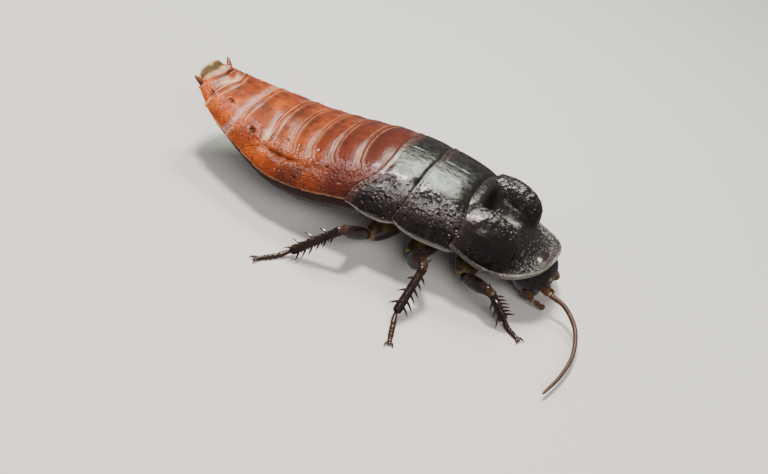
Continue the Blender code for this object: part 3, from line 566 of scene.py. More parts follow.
def pit(name, share, x):
    """Depth of the pits at a place, and the painted shade that darkens them."""
    depth, dark = 0.0, 0.0
    for c, where, radius, deep in PITS.get(name, ()):
        across = 13.0 * (math.acos(min(share, 1.0)) - math.acos(c)) * 0.8
        away = math.hypot(across, x - where) / radius
        depth += deep * (math.exp(-away * away * 1.6) - 0.3 * math.exp(-((away - 1.25) / 0.35) ** 2))
        # Painted shade: the hollow of each pit is darkened
        dark += 1.4 * math.exp(-away * away * 2.0)
    return depth, min(dark, 1.0)


def plate_rule(name, before, thorax, under):
    """The rule for one side of a plate, 'under' millimetres below its upper side."""
    crease = CREASES.get(name, 0.0)
    droops = DROOP.get(name)
    pale = PALE_BANDS.get(name, USUAL_BAND)

    def rule(u, v):
        turn = (v * (1.0 + 2.0 * OVERHANG) - OVERHANG) if droops else v
        angle = min(max(turn, 0.0), 1.0) * math.pi
        share = abs(math.cos(angle))
        rear = hind_edge(name, share)
        lead = hind_edge(before, share)
        front = lead + (SHORT_TUCK if name == "mesonotum" else TUCK)
        x = rear + (front - rear) * u ** 1.6
        ahead = x - rear
        shown = lead - x
        fade = falling(0.72, 0.86, share)
        # A thickened hind rim, and a step down where the plate before lies on this one
        lip = 0.09 if thorax else 0.06 + 0.09 * fade
        offset = 0.10 + lip * bell(ahead, 0.2, 0.36) - 0.14 * bell(ahead, 0.0, 0.1)
        offset += 0.12 * smoothstep(0.2, 2.0, shown)
        offset -= 0.55 * falling(-0.5, 0.35, shown)
        hole, deep = pit(name, share, x)
        if not thorax:
            # A second line ahead of the rim, the crease over the side lobe, and pits
            offset += fade * (0.07 * bell(ahead, 1.05, 0.2) - 0.07 * bell(ahead, 0.6, 0.22))
            offset -= crease * bell(share, 0.845, 0.03) * smoothstep(-0.4, 0.8, shown)
            offset += 0.5 * crease * bell(share, 0.93, 0.07) * smoothstep(-0.4, 1.0, shown)
            offset -= hole
            rim = fade * (0.9 * bell(ahead, 0.1, 0.12) + 0.45 * bell(ahead, 1.05, 0.08))
            rim += 0.06 * bell(ahead, 0.1, 0.15)
            band = 1.0 if name == "tergite_7" else smoothstep(0.2, 0.5, share) * fade
            if name == "tergite_8_9":
                band = falling(0.35, 0.65, share)
                rim = max(rim, 0.8 * bell(share, 0.1, 0.35) * falling(0.4, 1.2, shown))
            smooth = pale * falling(0.7, 1.5, shown) * band
            # Sixth plate: a paler side patch, partly pale membrane and partly painted highlight, and a painted
            # highlight drawn as a thin pale rim across it
            if name == "tergite_6":
                smooth = min(smooth * (0.5 + 2.2 * bell(share, 0.70, 0.10)), 0.95)
                rim = max(rim, 0.9 * bell(share, 0.71, 0.07) * falling(0.4, 1.3, shown))
            # Darker tones along the top and on the lobes, and painted shade in the pits and in the crease
            top_tone = bell(ahead, 0.8, 0.45) if name == "tergite_8_9" else 0.5 * bell(ahead, 1.9, 0.9)
            dark = max(top_tone * falling(0.3, 0.7, share), deep)
            if name in ("tergite_6", "tergite_7", "tergite_8_9"):
                corner = bell(ahead, 0.1, 0.45) * smoothstep(0.86, 0.98, share)
                offset += 0.3 * corner
                rim = max(rim, 0.5 * corner)
            tone = float(np.interp(x, *LOBE_TONES)) + 0.3 * lumps.noise(Vector((0.3 * x, 0.3 * turn, 7.0)))
            # The lobe tone, and painted shade along the crease
            dark = max(dark, tone * smoothstep(0.78, 0.95, share), crease * bell(share, 0.845, 0.025))
        else:
            # A fold on each side of the thoracic plate, and a fine seam along its middle, drawn pale as a painted
            # highlight
            middle = smoothstep(0.6, 1.6, ahead) * smoothstep(0.3, 1.2, shown)
            offset += middle * (0.16 * bell(share, 0.6, 0.09) - 0.42 * bell(share, 0.8, 0.08) * bell(ahead, 3.0, 2.0))
            line = bell(share, 0.0, 0.008) * smoothstep(0.8, 1.2, ahead) * smoothstep(1.5, 2.3, shown)
            offset -= 0.10 * line
            rim = 0.22 * bell(ahead, 0.08, 0.10) + 0.12 * bell(ahead, 0.85, 0.1) + 0.2 * line
            smooth = (1.0 if name == "metanotum" else 0.3) * falling(0.4, 2.2, ahead)
            dark = 0.0
        side = smoothstep(0.9985, 1.0, share)
        place = arch(x, angle, offset - under)
        if droops:
            depth = max(spline(x, *droops), 0.0)
            hang = max(-turn, turn - 1.0, 0.0) / OVERHANG
            place.z -= depth * hang
            out = 0.22 * bell(hang, 1.0, 0.35) * min(depth, 1.0) + 0.12 * smoothstep(0.5, 1.0, hang)
            place.y += math.copysign(out, place.y)
            side = smoothstep(0.70, 0.88, hang)
        rim = min(max(rim, (0.7 if thorax or name == "tergite_7" else 0.25) * side), 1.0)
        shade = smoothstep(0.58, 0.84, share) if thorax else smoothstep(0.52, 0.78, share)
        return place, {"rim": rim, "shade": shade, "smooth": smooth, "dark": dark}
    return rule


for before, name in zip(ORDER, ORDER[1:-1]):
    thorax = name in DROOP
    top, near, far = (plate_rule(name, before, thorax, under) for under in (0.0, WALL, HIDDEN_WALL))

    def bottom(u, v):
        place, values = near(u, v)
        return place.lerp(far(u, v)[0], smoothstep(0.0, 0.25, u)), values

    look, slot = (THORAX, "thorax_plate") if thorax else (ABDOMEN, "abdomen_plate")
    piece(shell(34, 150, top, bottom, ("rim", "shade", "smooth", "dark")), name + "_shell", look, slot, [name])

# %% [markdown]
# ## The last plate of the tail
# The plate over the vent is short, blunt and flat on top, cream with an olive-brown hollow across it, and
# ends in a soft double lobe. Its cross-section is squarer than the arch of the plates before it.

# %% Last plate
SQUARENESS = 3.2


def last_plate_rule(under):
    def rule(u, v):
        angle = v * math.pi
        share = abs(math.cos(angle))
        front = hind_edge("tergite_8_9", share) + 2.0
        rear = -41.0 + 1.1 * share ** 5 + 0.3 * bell(math.cos(angle), 0.0, 0.16)
        x = rear + (front - rear) * u ** 1.4
        shown = hind_edge("tergite_8_9", share) - x
        offset = 0.12 - 0.45 * falling(-0.4, 0.4, shown) - 0.12 * bell(u, 0.0, 0.06)
        offset += 0.16 * bell(u, 0.08, 0.1) - 0.22 * bell(u, 0.36, 0.14)
        rim = 0.9 * bell(u, 0.05, 0.12) + 0.5 * bell(u, 0.6, 0.1) * falling(0.3, 0.8, share)
        dark = smoothstep(0.13, 0.21, u) * falling(0.44, 0.53, u) * falling(0.85, 0.97, share)
        z, wide, high, lean = section(x)
        square = (share ** SQUARENESS + math.sin(angle) ** SQUARENESS) ** (-1.0 / SQUARENESS)
        up = (0.86 * high + offset - under) * math.sin(angle) * square
        across = -(1.02 * wide + offset - under) * math.cos(angle) * square
        return Vector((x + up * math.sin(lean), across, z + up * math.cos(lean))), {"rim": rim, "dark": dark}
    return rule


piece(shell(22, 60, last_plate_rule(0.0), last_plate_rule(0.5), ("rim", "dark")),
      "last_plate", TAIL, "abdomen_plate", ["supra_anal_plate"])

# %% [markdown]
# ## The pronotum
# The shield behind the head carries the two horns of a male. Its rim is a rounded plate edge that turns
# up at the front. Between the horns lies a deep hollow with a sharp ridge on each side, the crests are
# rugged, and before them a slope with fine streaks runs down to the rim. It is one shell, so the horns
# grow out of it without a seam.

# %% Pronotum surface
BACK_PLACE = Vector((14.6, 0.0, 0.2))
SLOPE = math.radians(18.4)
FORWARD = Vector((math.cos(SLOPE), 0.0, -math.sin(SLOPE)))
UPWARD = Vector((math.sin(SLOPE), 0.0, math.cos(SLOPE)))
LENGTH, WIDEST, HALF_WIDTH, BACK_HALF_WIDTH = 17.7, 3.6, 12.1, 11.5
RIM_POWER, DOME, HOLLOW_DEPTH, HORN_OUT = 2.35, 5.9, 3.6, 6.4
HORN_CREST = ([-1.0, 1.0, 3.4, 5.4, 7.6, 9.4, 10.6, 11.4, 12.2], [2.5, 5.6, 6.8, 7.25, 7.3, 6.7, 5.4, 3.4, 0.0])


def rim_half_width(s):
    if s < WIDEST:
        return BACK_HALF_WIDTH + (HALF_WIDTH - BACK_HALF_WIDTH) * smoothstep(-1.0, WIDEST, s)
    t = min((s - WIDEST) / (LENGTH - WIDEST + 0.01), 1.0)
    return HALF_WIDTH * (1.0 - t ** RIM_POWER) ** (1.0 / RIM_POWER)


def rim_rise(s):
    t = max((s - 8.0) / (LENGTH - 8.0), 0.0)
    return 3.8 * t * t


def from_rim(s, y):
    """How far inside the rim a place lies, roughly."""
    side = rim_half_width(s) - abs(y)
    return max(min(side, LENGTH - s if abs(y) < 9.0 else side), 0.0)


def flange(s):
    """Width of the flat rim outside the dome of the shield."""
    return 0.35 + 1.25 * smoothstep(3.0, 12.0, s)


def shield_height(s, y):
    wide = rim_half_width(s)
    side = min(abs(y) / max(wide - flange(s), 0.5), 1.0)
    fall = falling(6.1, 17.0, s)
    # The dome, less the hollow between the horns, then the horns, blended over 0.7 mm
    body = DOME * math.sqrt(max(1.0 - side * side, 0.0)) * fall
    hollow = math.exp(-abs(y / 3.8) ** 2.8) * smoothstep(0.7, 4.4, s) * falling(5.6, 12.0, s)
    body = max(body - HOLLOW_DEPTH * hollow - 0.4 * falling(-0.8, 1.8, s) * (1.0 - side), 0.0)
    end = math.sqrt(max(1.0 - (max(s - 8.0, 0.0) / 4.1) ** 2, 0.0)) ** 0.7
    reach = 3.3 * (0.35 + 0.65 * end)
    if abs(y) > HORN_OUT:
        reach = max((wide - flange(s) - HORN_OUT) * (0.45 + 0.55 * end), 0.4)
    off = (abs(y) - HORN_OUT) / reach
    horn = float(np.interp(s, *HORN_CREST)) * math.sqrt(max(1.0 - off * off, 0.0))
    joint = math.sqrt((body - horn) ** 2 + 0.7 ** 2) - 0.7
    return 0.5 * (body + horn + joint)


def shield_rule(above):
    def rule(u, v):
        angle = v * math.pi
        back = hind_edge("pronotum", abs(math.cos(angle))) - PLACE_OF["pronotum"] + 0.1
        s = back + (LENGTH - back) * math.sin(u * math.pi / 2.0)
        y = -rim_half_width(s) * math.cos(angle)
        inside = from_rim(s, y)
        height = shield_height(s, y)
        lip = 0.45 * bell(inside, 0.35, 0.45) * smoothstep(5.0, 13.0, s)
        lip -= 0.15 * bell(inside, 1.7, 0.7) * smoothstep(8.0, 14.0, s)
        if not above:
            cave = 0.45 * height * smoothstep(0.3, 3.0, inside)
            height = -0.3 + min(cave, max(height - 0.8, 0.0))
            lip = 0.0
        else:
            height += 0.3
        hind = bell(s - back, 0.0, 0.25)
        ridge = 0.03 * math.sin(2.2 * math.atan2(y, 3.0 + max(s - 8.0, 0.0)) * 18.0) * smoothstep(9.5, 12.0, s)
        ridge += 0.22 * bell(abs(y), 3.9 + 0.1 * s, 0.4) * smoothstep(2.0, 4.0, s) * falling(9.0, 11.0, s)
        crest = bell(abs(y), 6.3, 1.7) * smoothstep(0.5, 2.0, s) * falling(9.5, 11.5, s)
        ridge += 0.30 * crest * lumps.noise(Vector((1.1 * s, 1.1 * y, 3.0)))
        height += ridge * falling(16.0, 17.0, s) if above else 0.0
        low = falling(1.2, 3.0, shield_height(s, y))
        # A pale rim, widest on the upturned front lip, where it is partly a painted highlight
        rim = (0.7 * bell(inside, 0.15, 0.35) + 0.3 * bell(inside, 1.0, 0.8)) * smoothstep(9.0, 15.5, s)
        values = {"rim": min(rim + 0.3 * bell(inside, 0.05, 0.2) + 0.1 * hind, 1.0),
                  "shade": min(0.8 * low * smoothstep(0.5, 2.0, s) + 0.9 * crest, 1.0),
                  "smooth": 0.15 * bell(s - back, 0.3, 0.5)}
        return BACK_PLACE + FORWARD * s + LEFT * y + UPWARD * (rim_rise(s) + height + lip), values
    return rule


piece(shell(130, 190, shield_rule(True), shield_rule(False), ("rim", "shade", "smooth")),
      "pronotum_shield", THORAX, "thorax_plate", ["pronotum", "horn_left", "horn_right"])

# %% [markdown]
# ## Belly and chest
# Under the tail the belly is closed by flat overlapping plates, and under the thorax by soft skin that
# the legs grow from. Both are rolled grids, stepped where one plate slips under the next.

# %% Belly
BELLY_DEPTHS = {"tergite_8_9": 2.0, "tergite_7": 3.1, "tergite_6": 3.9, "tergite_5": 4.6, "tergite_4": 5.2,
                "tergite_3": 5.6, "tergite_2": 5.9, "tergite_1": 5.9, "metanotum": 5.8}
BELLY_XS, BELLY_YS = [PLACE_OF[name] for name in BELLY_DEPTHS], list(BELLY_DEPTHS.values())
BELLY_REAR, BELLY_LENGTH = -37.6, 37.3


def belly_rule(u, v):
    x = BELLY_REAR + BELLY_LENGTH * u
    z, wide, _, _ = section(x)
    depth = spline(x, BELLY_XS, BELLY_YS)
    ends = smoothstep(0.0, 0.035, u) * falling(0.985, 1.0, u)
    step = min([x - (p + 1.2) for p in BELLY_XS if x >= p + 1.2] or [9.0])
    angle = v * 2.0 * math.pi
    low = max(-math.sin(angle), 0.0)
    swell = (0.30 * bell(step, 0.0, 0.5) - 0.22 * falling(0.0, 0.2, step)) * low
    half = (wide - 0.9) * (0.35 + 0.65 * ends) + swell
    side = abs(math.cos(angle)) ** 0.8 * (1.0 if math.cos(angle) > 0 else -1.0)
    fold = 0.35 * bell(low, 0.45, 0.12)
    height = z - 0.75 - low ** 0.9 * (depth - 0.75 + swell) * ends + 0.5 * max(math.sin(angle), 0.0)
    values = {"rim": 0.5 * bell(step, 0.12, 0.16) * low, "shade": 0.8 * falling(0.25, 0.75, low)}
    return Vector((x, (half - fold) * side, height)), values


piece(rolled(190, 96, belly_rule), "belly_plates", BELLY, "belly", ["abdomen_underside"])


# %% Chest
CHEST = ([-0.1, 0.4, 3.0, 7.4, 11.0, 14.6, 19.5, 23.0, 25.2, 25.6],
         [6.0, 11.6, 11.7, 11.5, 10.9, 10.0, 8.4, 4.9, 3.0, 1.5],
         [3.0, 5.7, 5.7, 5.4, 5.4, 5.3, 4.9, 4.1, 3.1, 2.0])


def edge_height(x):
    if x > 14.6:
        return 0.2 - (x - 14.6) * math.tan(SLOPE)
    return section(x)[0]


def chest_rule(u, v):
    x = -0.1 + 25.7 * u
    half = spline(x, CHEST[0], CHEST[1])
    depth = spline(x, CHEST[0], CHEST[2])
    angle = v * 2.0 * math.pi
    low = max(-math.sin(angle), 0.0)
    groove = 0.35 * (bell(x, 7.9, 0.6) + bell(x, 15.2, 0.6) + bell(x, 21.0, 0.5)) * low
    keel = 0.25 * bell(math.cos(angle), 0.0, 0.08) * low
    height = edge_height(x) - 0.75 - low * (depth - 0.75 - groove + keel) + 0.35 * max(math.sin(angle), 0.0)
    values = {"rim": 0.0, "shade": min(0.85 * smoothstep(0.8, 0.98, low) + 0.3 * bell(x, 11.0, 2.0), 1.0)}
    return Vector((x, half * math.cos(angle), height)), values


piece(rolled(110, 80, chest_rule), "chest_skin", SKIN, "chest", ["thorax_underside"])

# %% [markdown]
# ## Limbs
# A limb is a line with a width and a height along it. Legs, feelers, palps and the tail feelers are all
# made in this way, with spurs and claws as curved cones whose roots lie inside the limb.

# %% Limb helpers
def on_curve(t, spots, points):
    """The place at t on the smooth curve through points that lie at the given spots."""
    return Vector([spline(t, spots, [p[k] for p in points]) for k in range(3)])


def smooth_line(points, count):
    """Evenly spaced places on a smooth curve through the given ones."""
    points = [Vector(p) for p in points]
    lengths = [0.0]
    for a, b in zip(points, points[1:]):
        lengths.append(lengths[-1] + (b - a).length)
    return [on_curve(lengths[-1] * n / (count - 1), lengths, points) for n in range(count)]


def limb(line, profile, across, sides, rows, tags, bulge=None):
    """A closed limb along a line. profile holds (share, half width, half height), tags gives rim and shade."""
    shares = [p[0] for p in profile]
    spots = [n / (len(line) - 1) for n in range(len(line))]

    def rule(u, v):
        ahead, behind = on_curve(min(u + 0.01, 1.0), spots, line), on_curve(max(u - 0.01, 0.0), spots, line)
        along = (ahead - behind).normalized()
        wide_axis = (across - along * across.dot(along)).normalized()
        tall_axis = along.cross(wide_axis)
        wide = spline(u, shares, [p[1] for p in profile])
        tall = spline(u, shares, [p[2] for p in profile])
        angle = v * 2.0 * math.pi
        out = wide_axis * math.cos(angle) * wide + tall_axis * math.sin(angle) * tall
        if bulge:
            out += out.normalized() * bulge(u, angle) if out.length > 1e-6 else out
        rim, shade = tags(u, angle)
        return on_curve(u, spots, line) + out, {"rim": rim, "shade": shade}
    return rolled(rows, sides, rule)


def spike(root, tip, radius, bend=Vector((0.0, 0.0, 0.0)), sides=8, rows=6, shade=0.0):
    """A curved cone, thick at its sunk root and fine at its tip."""
    middle = root.lerp(tip, 0.5) + bend
    line = smooth_line([root, middle, tip], 7)
    profile = [(share, radius * part, radius * part) for share, part in
               ((0.0, 0.9), (0.15, 1.0), (0.5, 0.72), (0.85, 0.3), (1.0, 0.08))]
    across = UP if abs((tip - root).normalized().z) < 0.9 else AHEAD
    return limb(line, profile, across, sides, rows, lambda u, a: (0.0, shade * (1.0 - u)))


# %% [markdown]
# ## Head
# The head hangs under the front of the shield with the face down and forward: a smooth black dome, a
# sunk line above the face plate, the upper lip, two jaws at its sides, and the jointed palps below.

# %% Head capsule
HEAD_SHARES = [0.0, 0.1, 0.25, 0.45, 0.62, 0.78, 0.9, 1.0]
HEAD_CROWN, HEAD_MOUTH = Vector((30.3, 0.0, -2.0)), Vector((28.9, 0.0, -10.0))
HEAD_FRONT = [0.9, 2.6, 3.5, 3.9, 3.7, 3.1, 2.3, 1.0]
HEAD_REAR = [0.9, 2.6, 3.5, 3.7, 3.2, 2.4, 1.7, 0.7]
HEAD_SIDE = [1.4, 3.7, 4.7, 4.85, 4.2, 3.1, 2.2, 0.9]


def head_rule(u, v):
    angle = v * 2.0 * math.pi
    facing = math.cos(angle)
    side = math.sin(angle)
    reach = spline(u, HEAD_SHARES, HEAD_FRONT if facing > 0 else HEAD_REAR)
    width = spline(u, HEAD_SHARES, HEAD_SIDE)
    square = (abs(facing) ** 2.3 + abs(side) ** 2.3) ** (-1.0 / 2.3)
    # The line over the face plate, the middle seam, and the sockets of the feelers
    suture = 0.16 * bell(u, 0.64 - 0.10 * side * side, 0.012) * max(facing, 0.0)
    middle = 0.10 * bell(side, 0.0, 0.03) * max(facing, 0.0) * falling(0.25, 0.4, u)
    socket = 0.35 * bell(u, 0.50, 0.06) * bell(side, 0.62 if side > 0 else -0.62, 0.13) * max(facing, 0.0)
    dent = suture + middle + socket
    centre = HEAD_CROWN.lerp(HEAD_MOUTH, u)
    place = centre + Vector(((reach - dent) * facing * square, (width - dent) * side * square, 0.0))
    place.z = max(place.z, FLOOR + 0.7)
    values = {"rim": 0.8 * bell(u, 0.30, 0.035) * bell(abs(side), 0.42, 0.09) * max(facing, 0.0),
              "shade": 0.7 * smoothstep(0.72, 0.95, u)}
    return place, values


lip_line = smooth_line([(31.6, 0.0, -8.3), (31.3, 0.0, -9.3), (30.5, 0.0, -10.3)], 9)
lip = limb(lip_line, [(0.0, 1.3, 0.35), (0.3, 1.75, 0.55), (0.7, 1.6, 0.5), (1.0, 0.7, 0.15)], LEFT, 28, 16,
           lambda u, a: (0.0, 0.45 + 0.4 * u))
jaws = []
for hand, _ in HANDS[::-1]:
    jaw_line = smooth_line([(29.9, hand * 3.2, -7.6), (30.6, hand * 2.7, -9.0), (30.6, hand * 1.3, -10.25)], 9)
    jaws.append(limb(jaw_line, [(0.0, 0.7, 0.6), (0.35, 1.15, 0.85), (0.75, 0.85, 0.65), (1.0, 0.2, 0.15)],
                     AHEAD, 20, 14, lambda u, a: (0.0, 0.25 + 0.6 * u)))
piece([rolled(90, 96, head_rule), lip] + jaws, "head_capsule", HEAD, "head", ["head"])

# %% Eyes
def eye_rule(hand):
    def rule(u, v):
        lat = (u - 0.5) * math.pi
        angle = v * 2.0 * math.pi
        tall = math.sin(lat)
        ring = math.cos(lat)
        x = ring * math.cos(angle)
        y = ring * math.sin(angle)
        waist = 0.35 * bell(tall, -0.15, 0.45) * max(x, 0.0)
        place = Vector((30.75 + (1.35 - waist) * x - 0.25 * tall, hand * (3.85 + 0.95 * y), -4.95 + 1.85 * tall))
        return place, {"rim": 0.0, "shade": 0.0}
    return rule


for hand, side in HANDS:
    piece(rolled(40, 48, eye_rule(hand)), f"eye_facets_{side}", EYE, "eye", [f"eye_{side}"])

# %% [markdown]
# ## Feelers and palps
# A feeler starts with a thick first joint and a short second one, and goes on as a chain of fine rings
# that gets thinner to its tip. The palps beside the mouth have five joints, the last one club-shaped.

# %% Feelers
ANTENNA_ROUTES = {
    "right": [(32.0, -2.25, -6.5), (34.4, -3.0, -6.8), (37.4, -3.6, -7.3), (40.6, -6.4, -8.5), (42.4, -12.0, -9.3),
              (42.4, -18.5, -9.7), (41.3, -24.8, -9.9)],
    "left": [(32.0, 2.25, -6.5), (33.4, 4.4, -7.6), (32.4, 7.4, -8.4), (29.8, 11.6, -8.6), (27.2, 17.0, -8.4),
             (21.8, 22.2, -8.8), (14.8, 25.4, -9.6)],
}
RINGS = 62


def feeler_tags(u, angle):
    ring = (u * RINGS) % 1.0
    base = u < 0.075
    shade = 0.0 if base else 0.8 * bell(ring, 0.0, 0.16) + 0.8 * bell(ring, 1.0, 0.16)
    return 0.6 * bell(u, 0.082, 0.004) + 0.35 * bell(u, 0.0, 0.02), shade


def feeler_bulge(u, angle):
    ring = (u * RINGS) % 1.0
    if u < 0.09:
        return -0.10 * bell(u, 0.078, 0.006)
    return -0.045 * (bell(ring, 0.0, 0.14) + bell(ring, 1.0, 0.14))


for side, route in ANTENNA_ROUTES.items():
    line = smooth_line(route, 40)
    profile = [(0.0, 0.55, 0.55), (0.04, 0.72, 0.72), (0.075, 0.62, 0.62), (0.1, 0.5, 0.5), (0.3, 0.43, 0.43),
               (0.7, 0.34, 0.34), (0.97, 0.26, 0.26), (1.0, 0.06, 0.06)]
    feeler = limb(line, profile, UP, 14, RINGS * 5, feeler_tags, feeler_bulge)
    piece(feeler, f"feeler_{side}", FEELER, "feeler", [f"antenna_{side}_{k}" for k in (1, 2, 3)])

# %% Palps
for hand, side in HANDS:
    spots = [Vector((x, hand * y, z)) for x, y, z in
             ((29.6, 2.1, -8.8), (30.6, 2.9, -9.3), (32.1, 3.3, -9.2), (33.2, 3.1, -9.6), (34.1, 2.6, -10.2))]
    parts = []
    for k, (a, b) in enumerate(zip(spots, spots[1:])):
        end = 0.46 if k < 3 else 0.52
        profile = [(0.0, 0.2, 0.2), (0.15, 0.36, 0.36), (0.75, end, end), (1.0, 0.18, 0.18)]
        parts.append(limb([a, a.lerp(b, 0.5), b], profile, UP, 14, 14, lambda u, a: (0.5 * bell(u, 0.95, 0.05), 0.0)))
    piece(parts, f"mouth_palp_{side}", FEELER, "feeler", [f"palp_{side}"])

# %% [markdown]
# ## Legs
# Each leg has a broad flat coxa under the body, a small ring joint, a strong femur, a tibia with rows of
# long sharp spurs, and a foot of five joints with pale pads, ending in two hooked claws. The soles lie
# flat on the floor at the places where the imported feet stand.

# %% Leg shapes
# Hip, bend, knee, ankle and toe of each leg
LEGS = {
    "fore_right": (
        (19.0, -3.2, -4.9), (19.4, -7.6, -8.0), (26.0, -12.6, -5.0),
        (29.5, -11.4, -9.9), (33.0, -13.4, -10.64)),
    "mid_right": (
        (12.0, -3.6, -5.0), (9.6, -9.0, -8.0), (14.7, -16.8, -3.2),
        (14.0, -22.8, -9.9), (16.2, -29.4, -10.64)),
    "hind_right": (
        (4.6, -3.6, -5.2), (1.4, -9.0, -8.0), (-0.4, -17.8, -3.0),
        (-7.6, -20.6, -9.9), (-11.2, -25.6, -10.64)),
    "fore_left": (
        (19.0, 3.2, -4.9), (19.6, 7.6, -8.0), (24.4, 12.4, -5.0),
        (23.2, 15.8, -9.9), (24.2, 20.4, -10.64)),
    "mid_left": (
        (12.0, 3.6, -5.0), (9.2, 9.0, -8.0), (12.2, 17.4, -3.2),
        (9.4, 22.6, -9.9), (9.2, 29.4, -10.64)),
    "hind_left": (
        (4.6, 3.6, -5.2), (1.0, 9.0, -8.0), (-2.6, 17.6, -3.0),
        (-10.6, 20.0, -9.9), (-15.6, 23.8, -10.64)),
}


def coxa_piece(place, hip, bend):
    along = (bend - hip).normalized()
    line = [hip - along * 0.8, hip.lerp(bend, 0.35), hip.lerp(bend, 0.75), bend + along * 0.1]
    profile = [(0.0, 1.6, 1.1), (0.12, 2.3, 1.5), (0.4, 2.35, 1.5), (0.75, 1.75, 1.25), (0.93, 1.15, 1.0),
               (1.0, 0.5, 0.5)]
    body = limb(line, profile, AHEAD, 36, 34, lambda u, a: (0.8 * bell(u, 0.95, 0.05), 0.0),
                lambda u, a: 0.14 * bell(math.cos(a), 1.0, 0.2) - 0.12 * bell(math.sin(a), 0.9, 0.1))
    piece(body, f"coxa_plate_{place}", COXA, "leg", [f"coxa_{place}"])


def femur_piece(place, bend, knee, flat):
    across = flat.cross(knee - bend).normalized()
    body = limb([bend + (knee - bend) * 0.03, bend.lerp(knee, 0.35), bend.lerp(knee, 0.7), knee],
                [(0.0, 0.35, 0.35), (0.04, 0.85, 0.8), (0.1, 0.82, 0.78), (0.14, 0.72, 0.7), (0.22, 1.25, 0.98),
                 (0.5, 1.6, 1.1), (0.8, 1.15, 0.92), (0.93, 0.98, 0.85), (0.985, 0.75, 0.68), (1.0, 0.25, 0.25)],
                across, 28, 44, lambda u, a: (0.8 * bell(u, 0.0, 0.03) + 0.7 * bell(u, 0.99, 0.02), 0.0),
                lambda u, a: 0.13 * bell(math.cos(a), -1.0, 0.12) * smoothstep(0.2, 0.4, u))
    parts = [body]
    along = (knee - bend).normalized()
    for k, t in enumerate((0.62, 0.78, 0.93)):
        out = (-across if k < 2 else flat.normalized() * 0.3 - across).normalized()
        root = bend.lerp(knee, t) + out * 0.7
        parts.append(spike(root, root + (out + along * 0.7).normalized() * 1.35, 0.2))
    piece(parts, f"femur_shell_{place}", LEG, "leg", [f"femur_{place}"])


def tibia_piece(place, knee, ankle, flat):
    along = (ankle - knee).normalized()
    side = (flat - along * flat.dot(along)).normalized()
    other = along.cross(side)
    body = limb([knee, knee.lerp(ankle, 0.4), knee.lerp(ankle, 0.8), ankle],
                [(0.0, 0.3, 0.3), (0.02, 0.72, 0.66), (0.08, 0.82, 0.78), (0.14, 0.7, 0.62), (0.5, 0.74, 0.66),
                 (0.86, 0.82, 0.72), (0.94, 0.72, 0.64), (0.98, 0.54, 0.5), (1.0, 0.3, 0.3)],
                side, 24, 40, lambda u, a: (0.6 * bell(u, 0.0, 0.03), 0.0), lambda u, a: 0.05 * math.cos(3.0 * a))
    parts = [body]
    # Four rows of spurs, the last with half as many
    for k in range(6):
        for row, turn in enumerate((-1.25, 0.25, 1.75, 2.9)):
            if row == 3 and k % 2:
                continue
            t = 0.16 + 0.76 * (k + 0.3 * row) / 6.0
            out = side * math.cos(turn) + other * math.sin(turn)
            root = knee.lerp(ankle, t) + out * 0.42
            reach = (1.6 + 0.75 * t) * random.uniform(0.85, 1.1)
            tip = root + (out + along * 0.7).normalized() * reach
            tip.z = max(tip.z, FLOOR + 0.3)
            parts.append(spike(root, tip, 0.235, -along * 0.12, 8, 6, 0.4))
    piece(parts, f"tibia_shell_{place}", LEG, "leg", [f"tibia_{place}"])


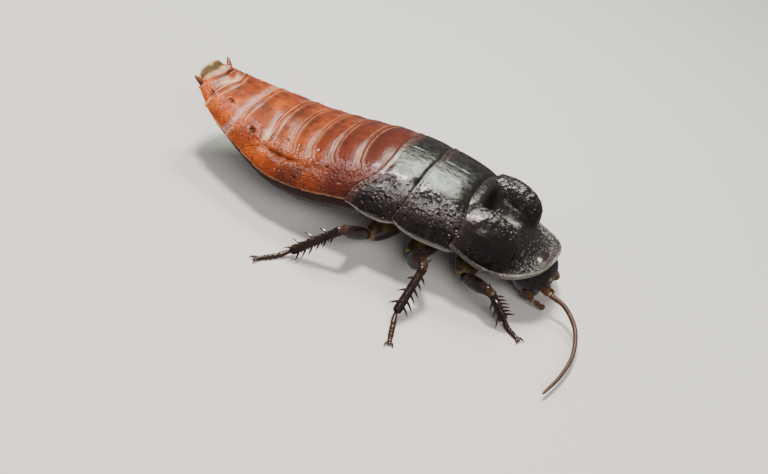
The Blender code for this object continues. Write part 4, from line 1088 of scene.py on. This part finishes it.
def foot_piece(place, ankle, toe):
    out = Vector((toe.x - ankle.x, toe.y - ankle.y, 0.0))
    length = out.length
    out.normalize()
    side = Vector((-out.y, out.x, 0.0))

    def spot(t):
        drop = ankle.z + (toe.z - ankle.z) * min(max(t, 0.0) / 0.42, 1.0) ** 0.8
        return Vector((ankle.x, ankle.y, 0.0)) + out * length * t + Vector((0.0, 0.0, drop))

    parts = []
    ends = [0.0, 0.34, 0.5, 0.64, 0.76, 1.0]
    for k, (a, b) in enumerate(zip(ends, ends[1:])):
        start, stop = spot(a - 0.015), spot(b + 0.02)
        thick = 0.5 if k < 4 else 0.42
        profile = [(0.0, 0.24, 0.24), (0.12, 0.36, 0.36), (0.72, thick, thick * 0.95),
                   (0.93, thick * 0.86, thick * 0.8), (1.0, 0.2, 0.2)]
        parts.append(limb([start, start.lerp(stop, 0.5), stop], profile, side, 18, 14,
                          lambda u, a: (0.8 * bell(math.sin(a), -1.0, 0.5) * smoothstep(0.5, 0.8, u), 0.35)))
    for hand, _ in HANDS[::-1]:
        root = toe - out * 0.25 + side * hand * 0.12 + Vector((0.0, 0.0, 0.1))
        tip = toe + out * 1.15 + side * hand * 0.85
        tip.z = FLOOR + 0.12
        parts.append(spike(root, tip, 0.24, (out + side * hand * 0.4) * 0.1 + Vector((0.0, 0.0, 0.22)), 10, 10, 0.7))
    pad = toe + out * 0.35
    profile = [(0.0, 0.12, 0.12), (0.5, 0.3, 0.26), (1.0, 0.08, 0.08)]
    parts.append(limb([pad - out * 0.45, pad, pad + out * 0.35], profile, side, 14, 10, lambda u, a: (0.8, 0.0)))
    whole = put_together(parts)
    for vert in whole.verts:
        vert.co.z = max(vert.co.z, FLOOR)
    piece(whole, f"foot_{place}", LEG, "leg", [f"tarsus_{place}"])


for place, points in LEGS.items():
    hip, bend, knee, ankle, toe = (Vector(p) for p in points)
    flat = (knee - bend).cross(ankle - knee).normalized()
    coxa_piece(place, hip, bend)
    femur_piece(place, bend, knee, flat)
    tibia_piece(place, knee, ankle, flat)
    foot_piece(place, ankle, toe)

# %% [markdown]
# ## Tail feelers
# Two short cerci stick out beside the last plate, dark red and ringed, pointed at the end.

# %% Cerci
for hand, side in HANDS:
    root, tip = Vector((-37.1, hand * 3.4, 1.7)), Vector((-39.65, hand * 5.65, 4.75))
    body = limb(smooth_line([root, root.lerp(tip, 0.5) + Vector((0.0, hand * 0.15, 0.1)), tip], 9),
                [(0.0, 0.5, 0.4), (0.3, 0.68, 0.5), (0.7, 0.55, 0.42), (0.93, 0.28, 0.24), (1.0, 0.06, 0.06)],
                LEFT, 18, 50, lambda u, a: (0.0, 0.8 * bell((u * 9.0) % 1.0, 0.5, 0.14)),
                lambda u, a: -0.05 * bell((u * 9.0) % 1.0, 0.5, 0.16))
    piece(body, f"cercus_ringed_{side}", CERCUS, "cercus", [f"cercus_{side}"])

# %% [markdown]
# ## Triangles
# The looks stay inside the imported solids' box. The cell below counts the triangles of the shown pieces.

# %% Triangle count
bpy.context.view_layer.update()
triangles = sum(len(p.vertices) - 2 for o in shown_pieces() for p in o.data.polygons)
print("triangles:", triangles)
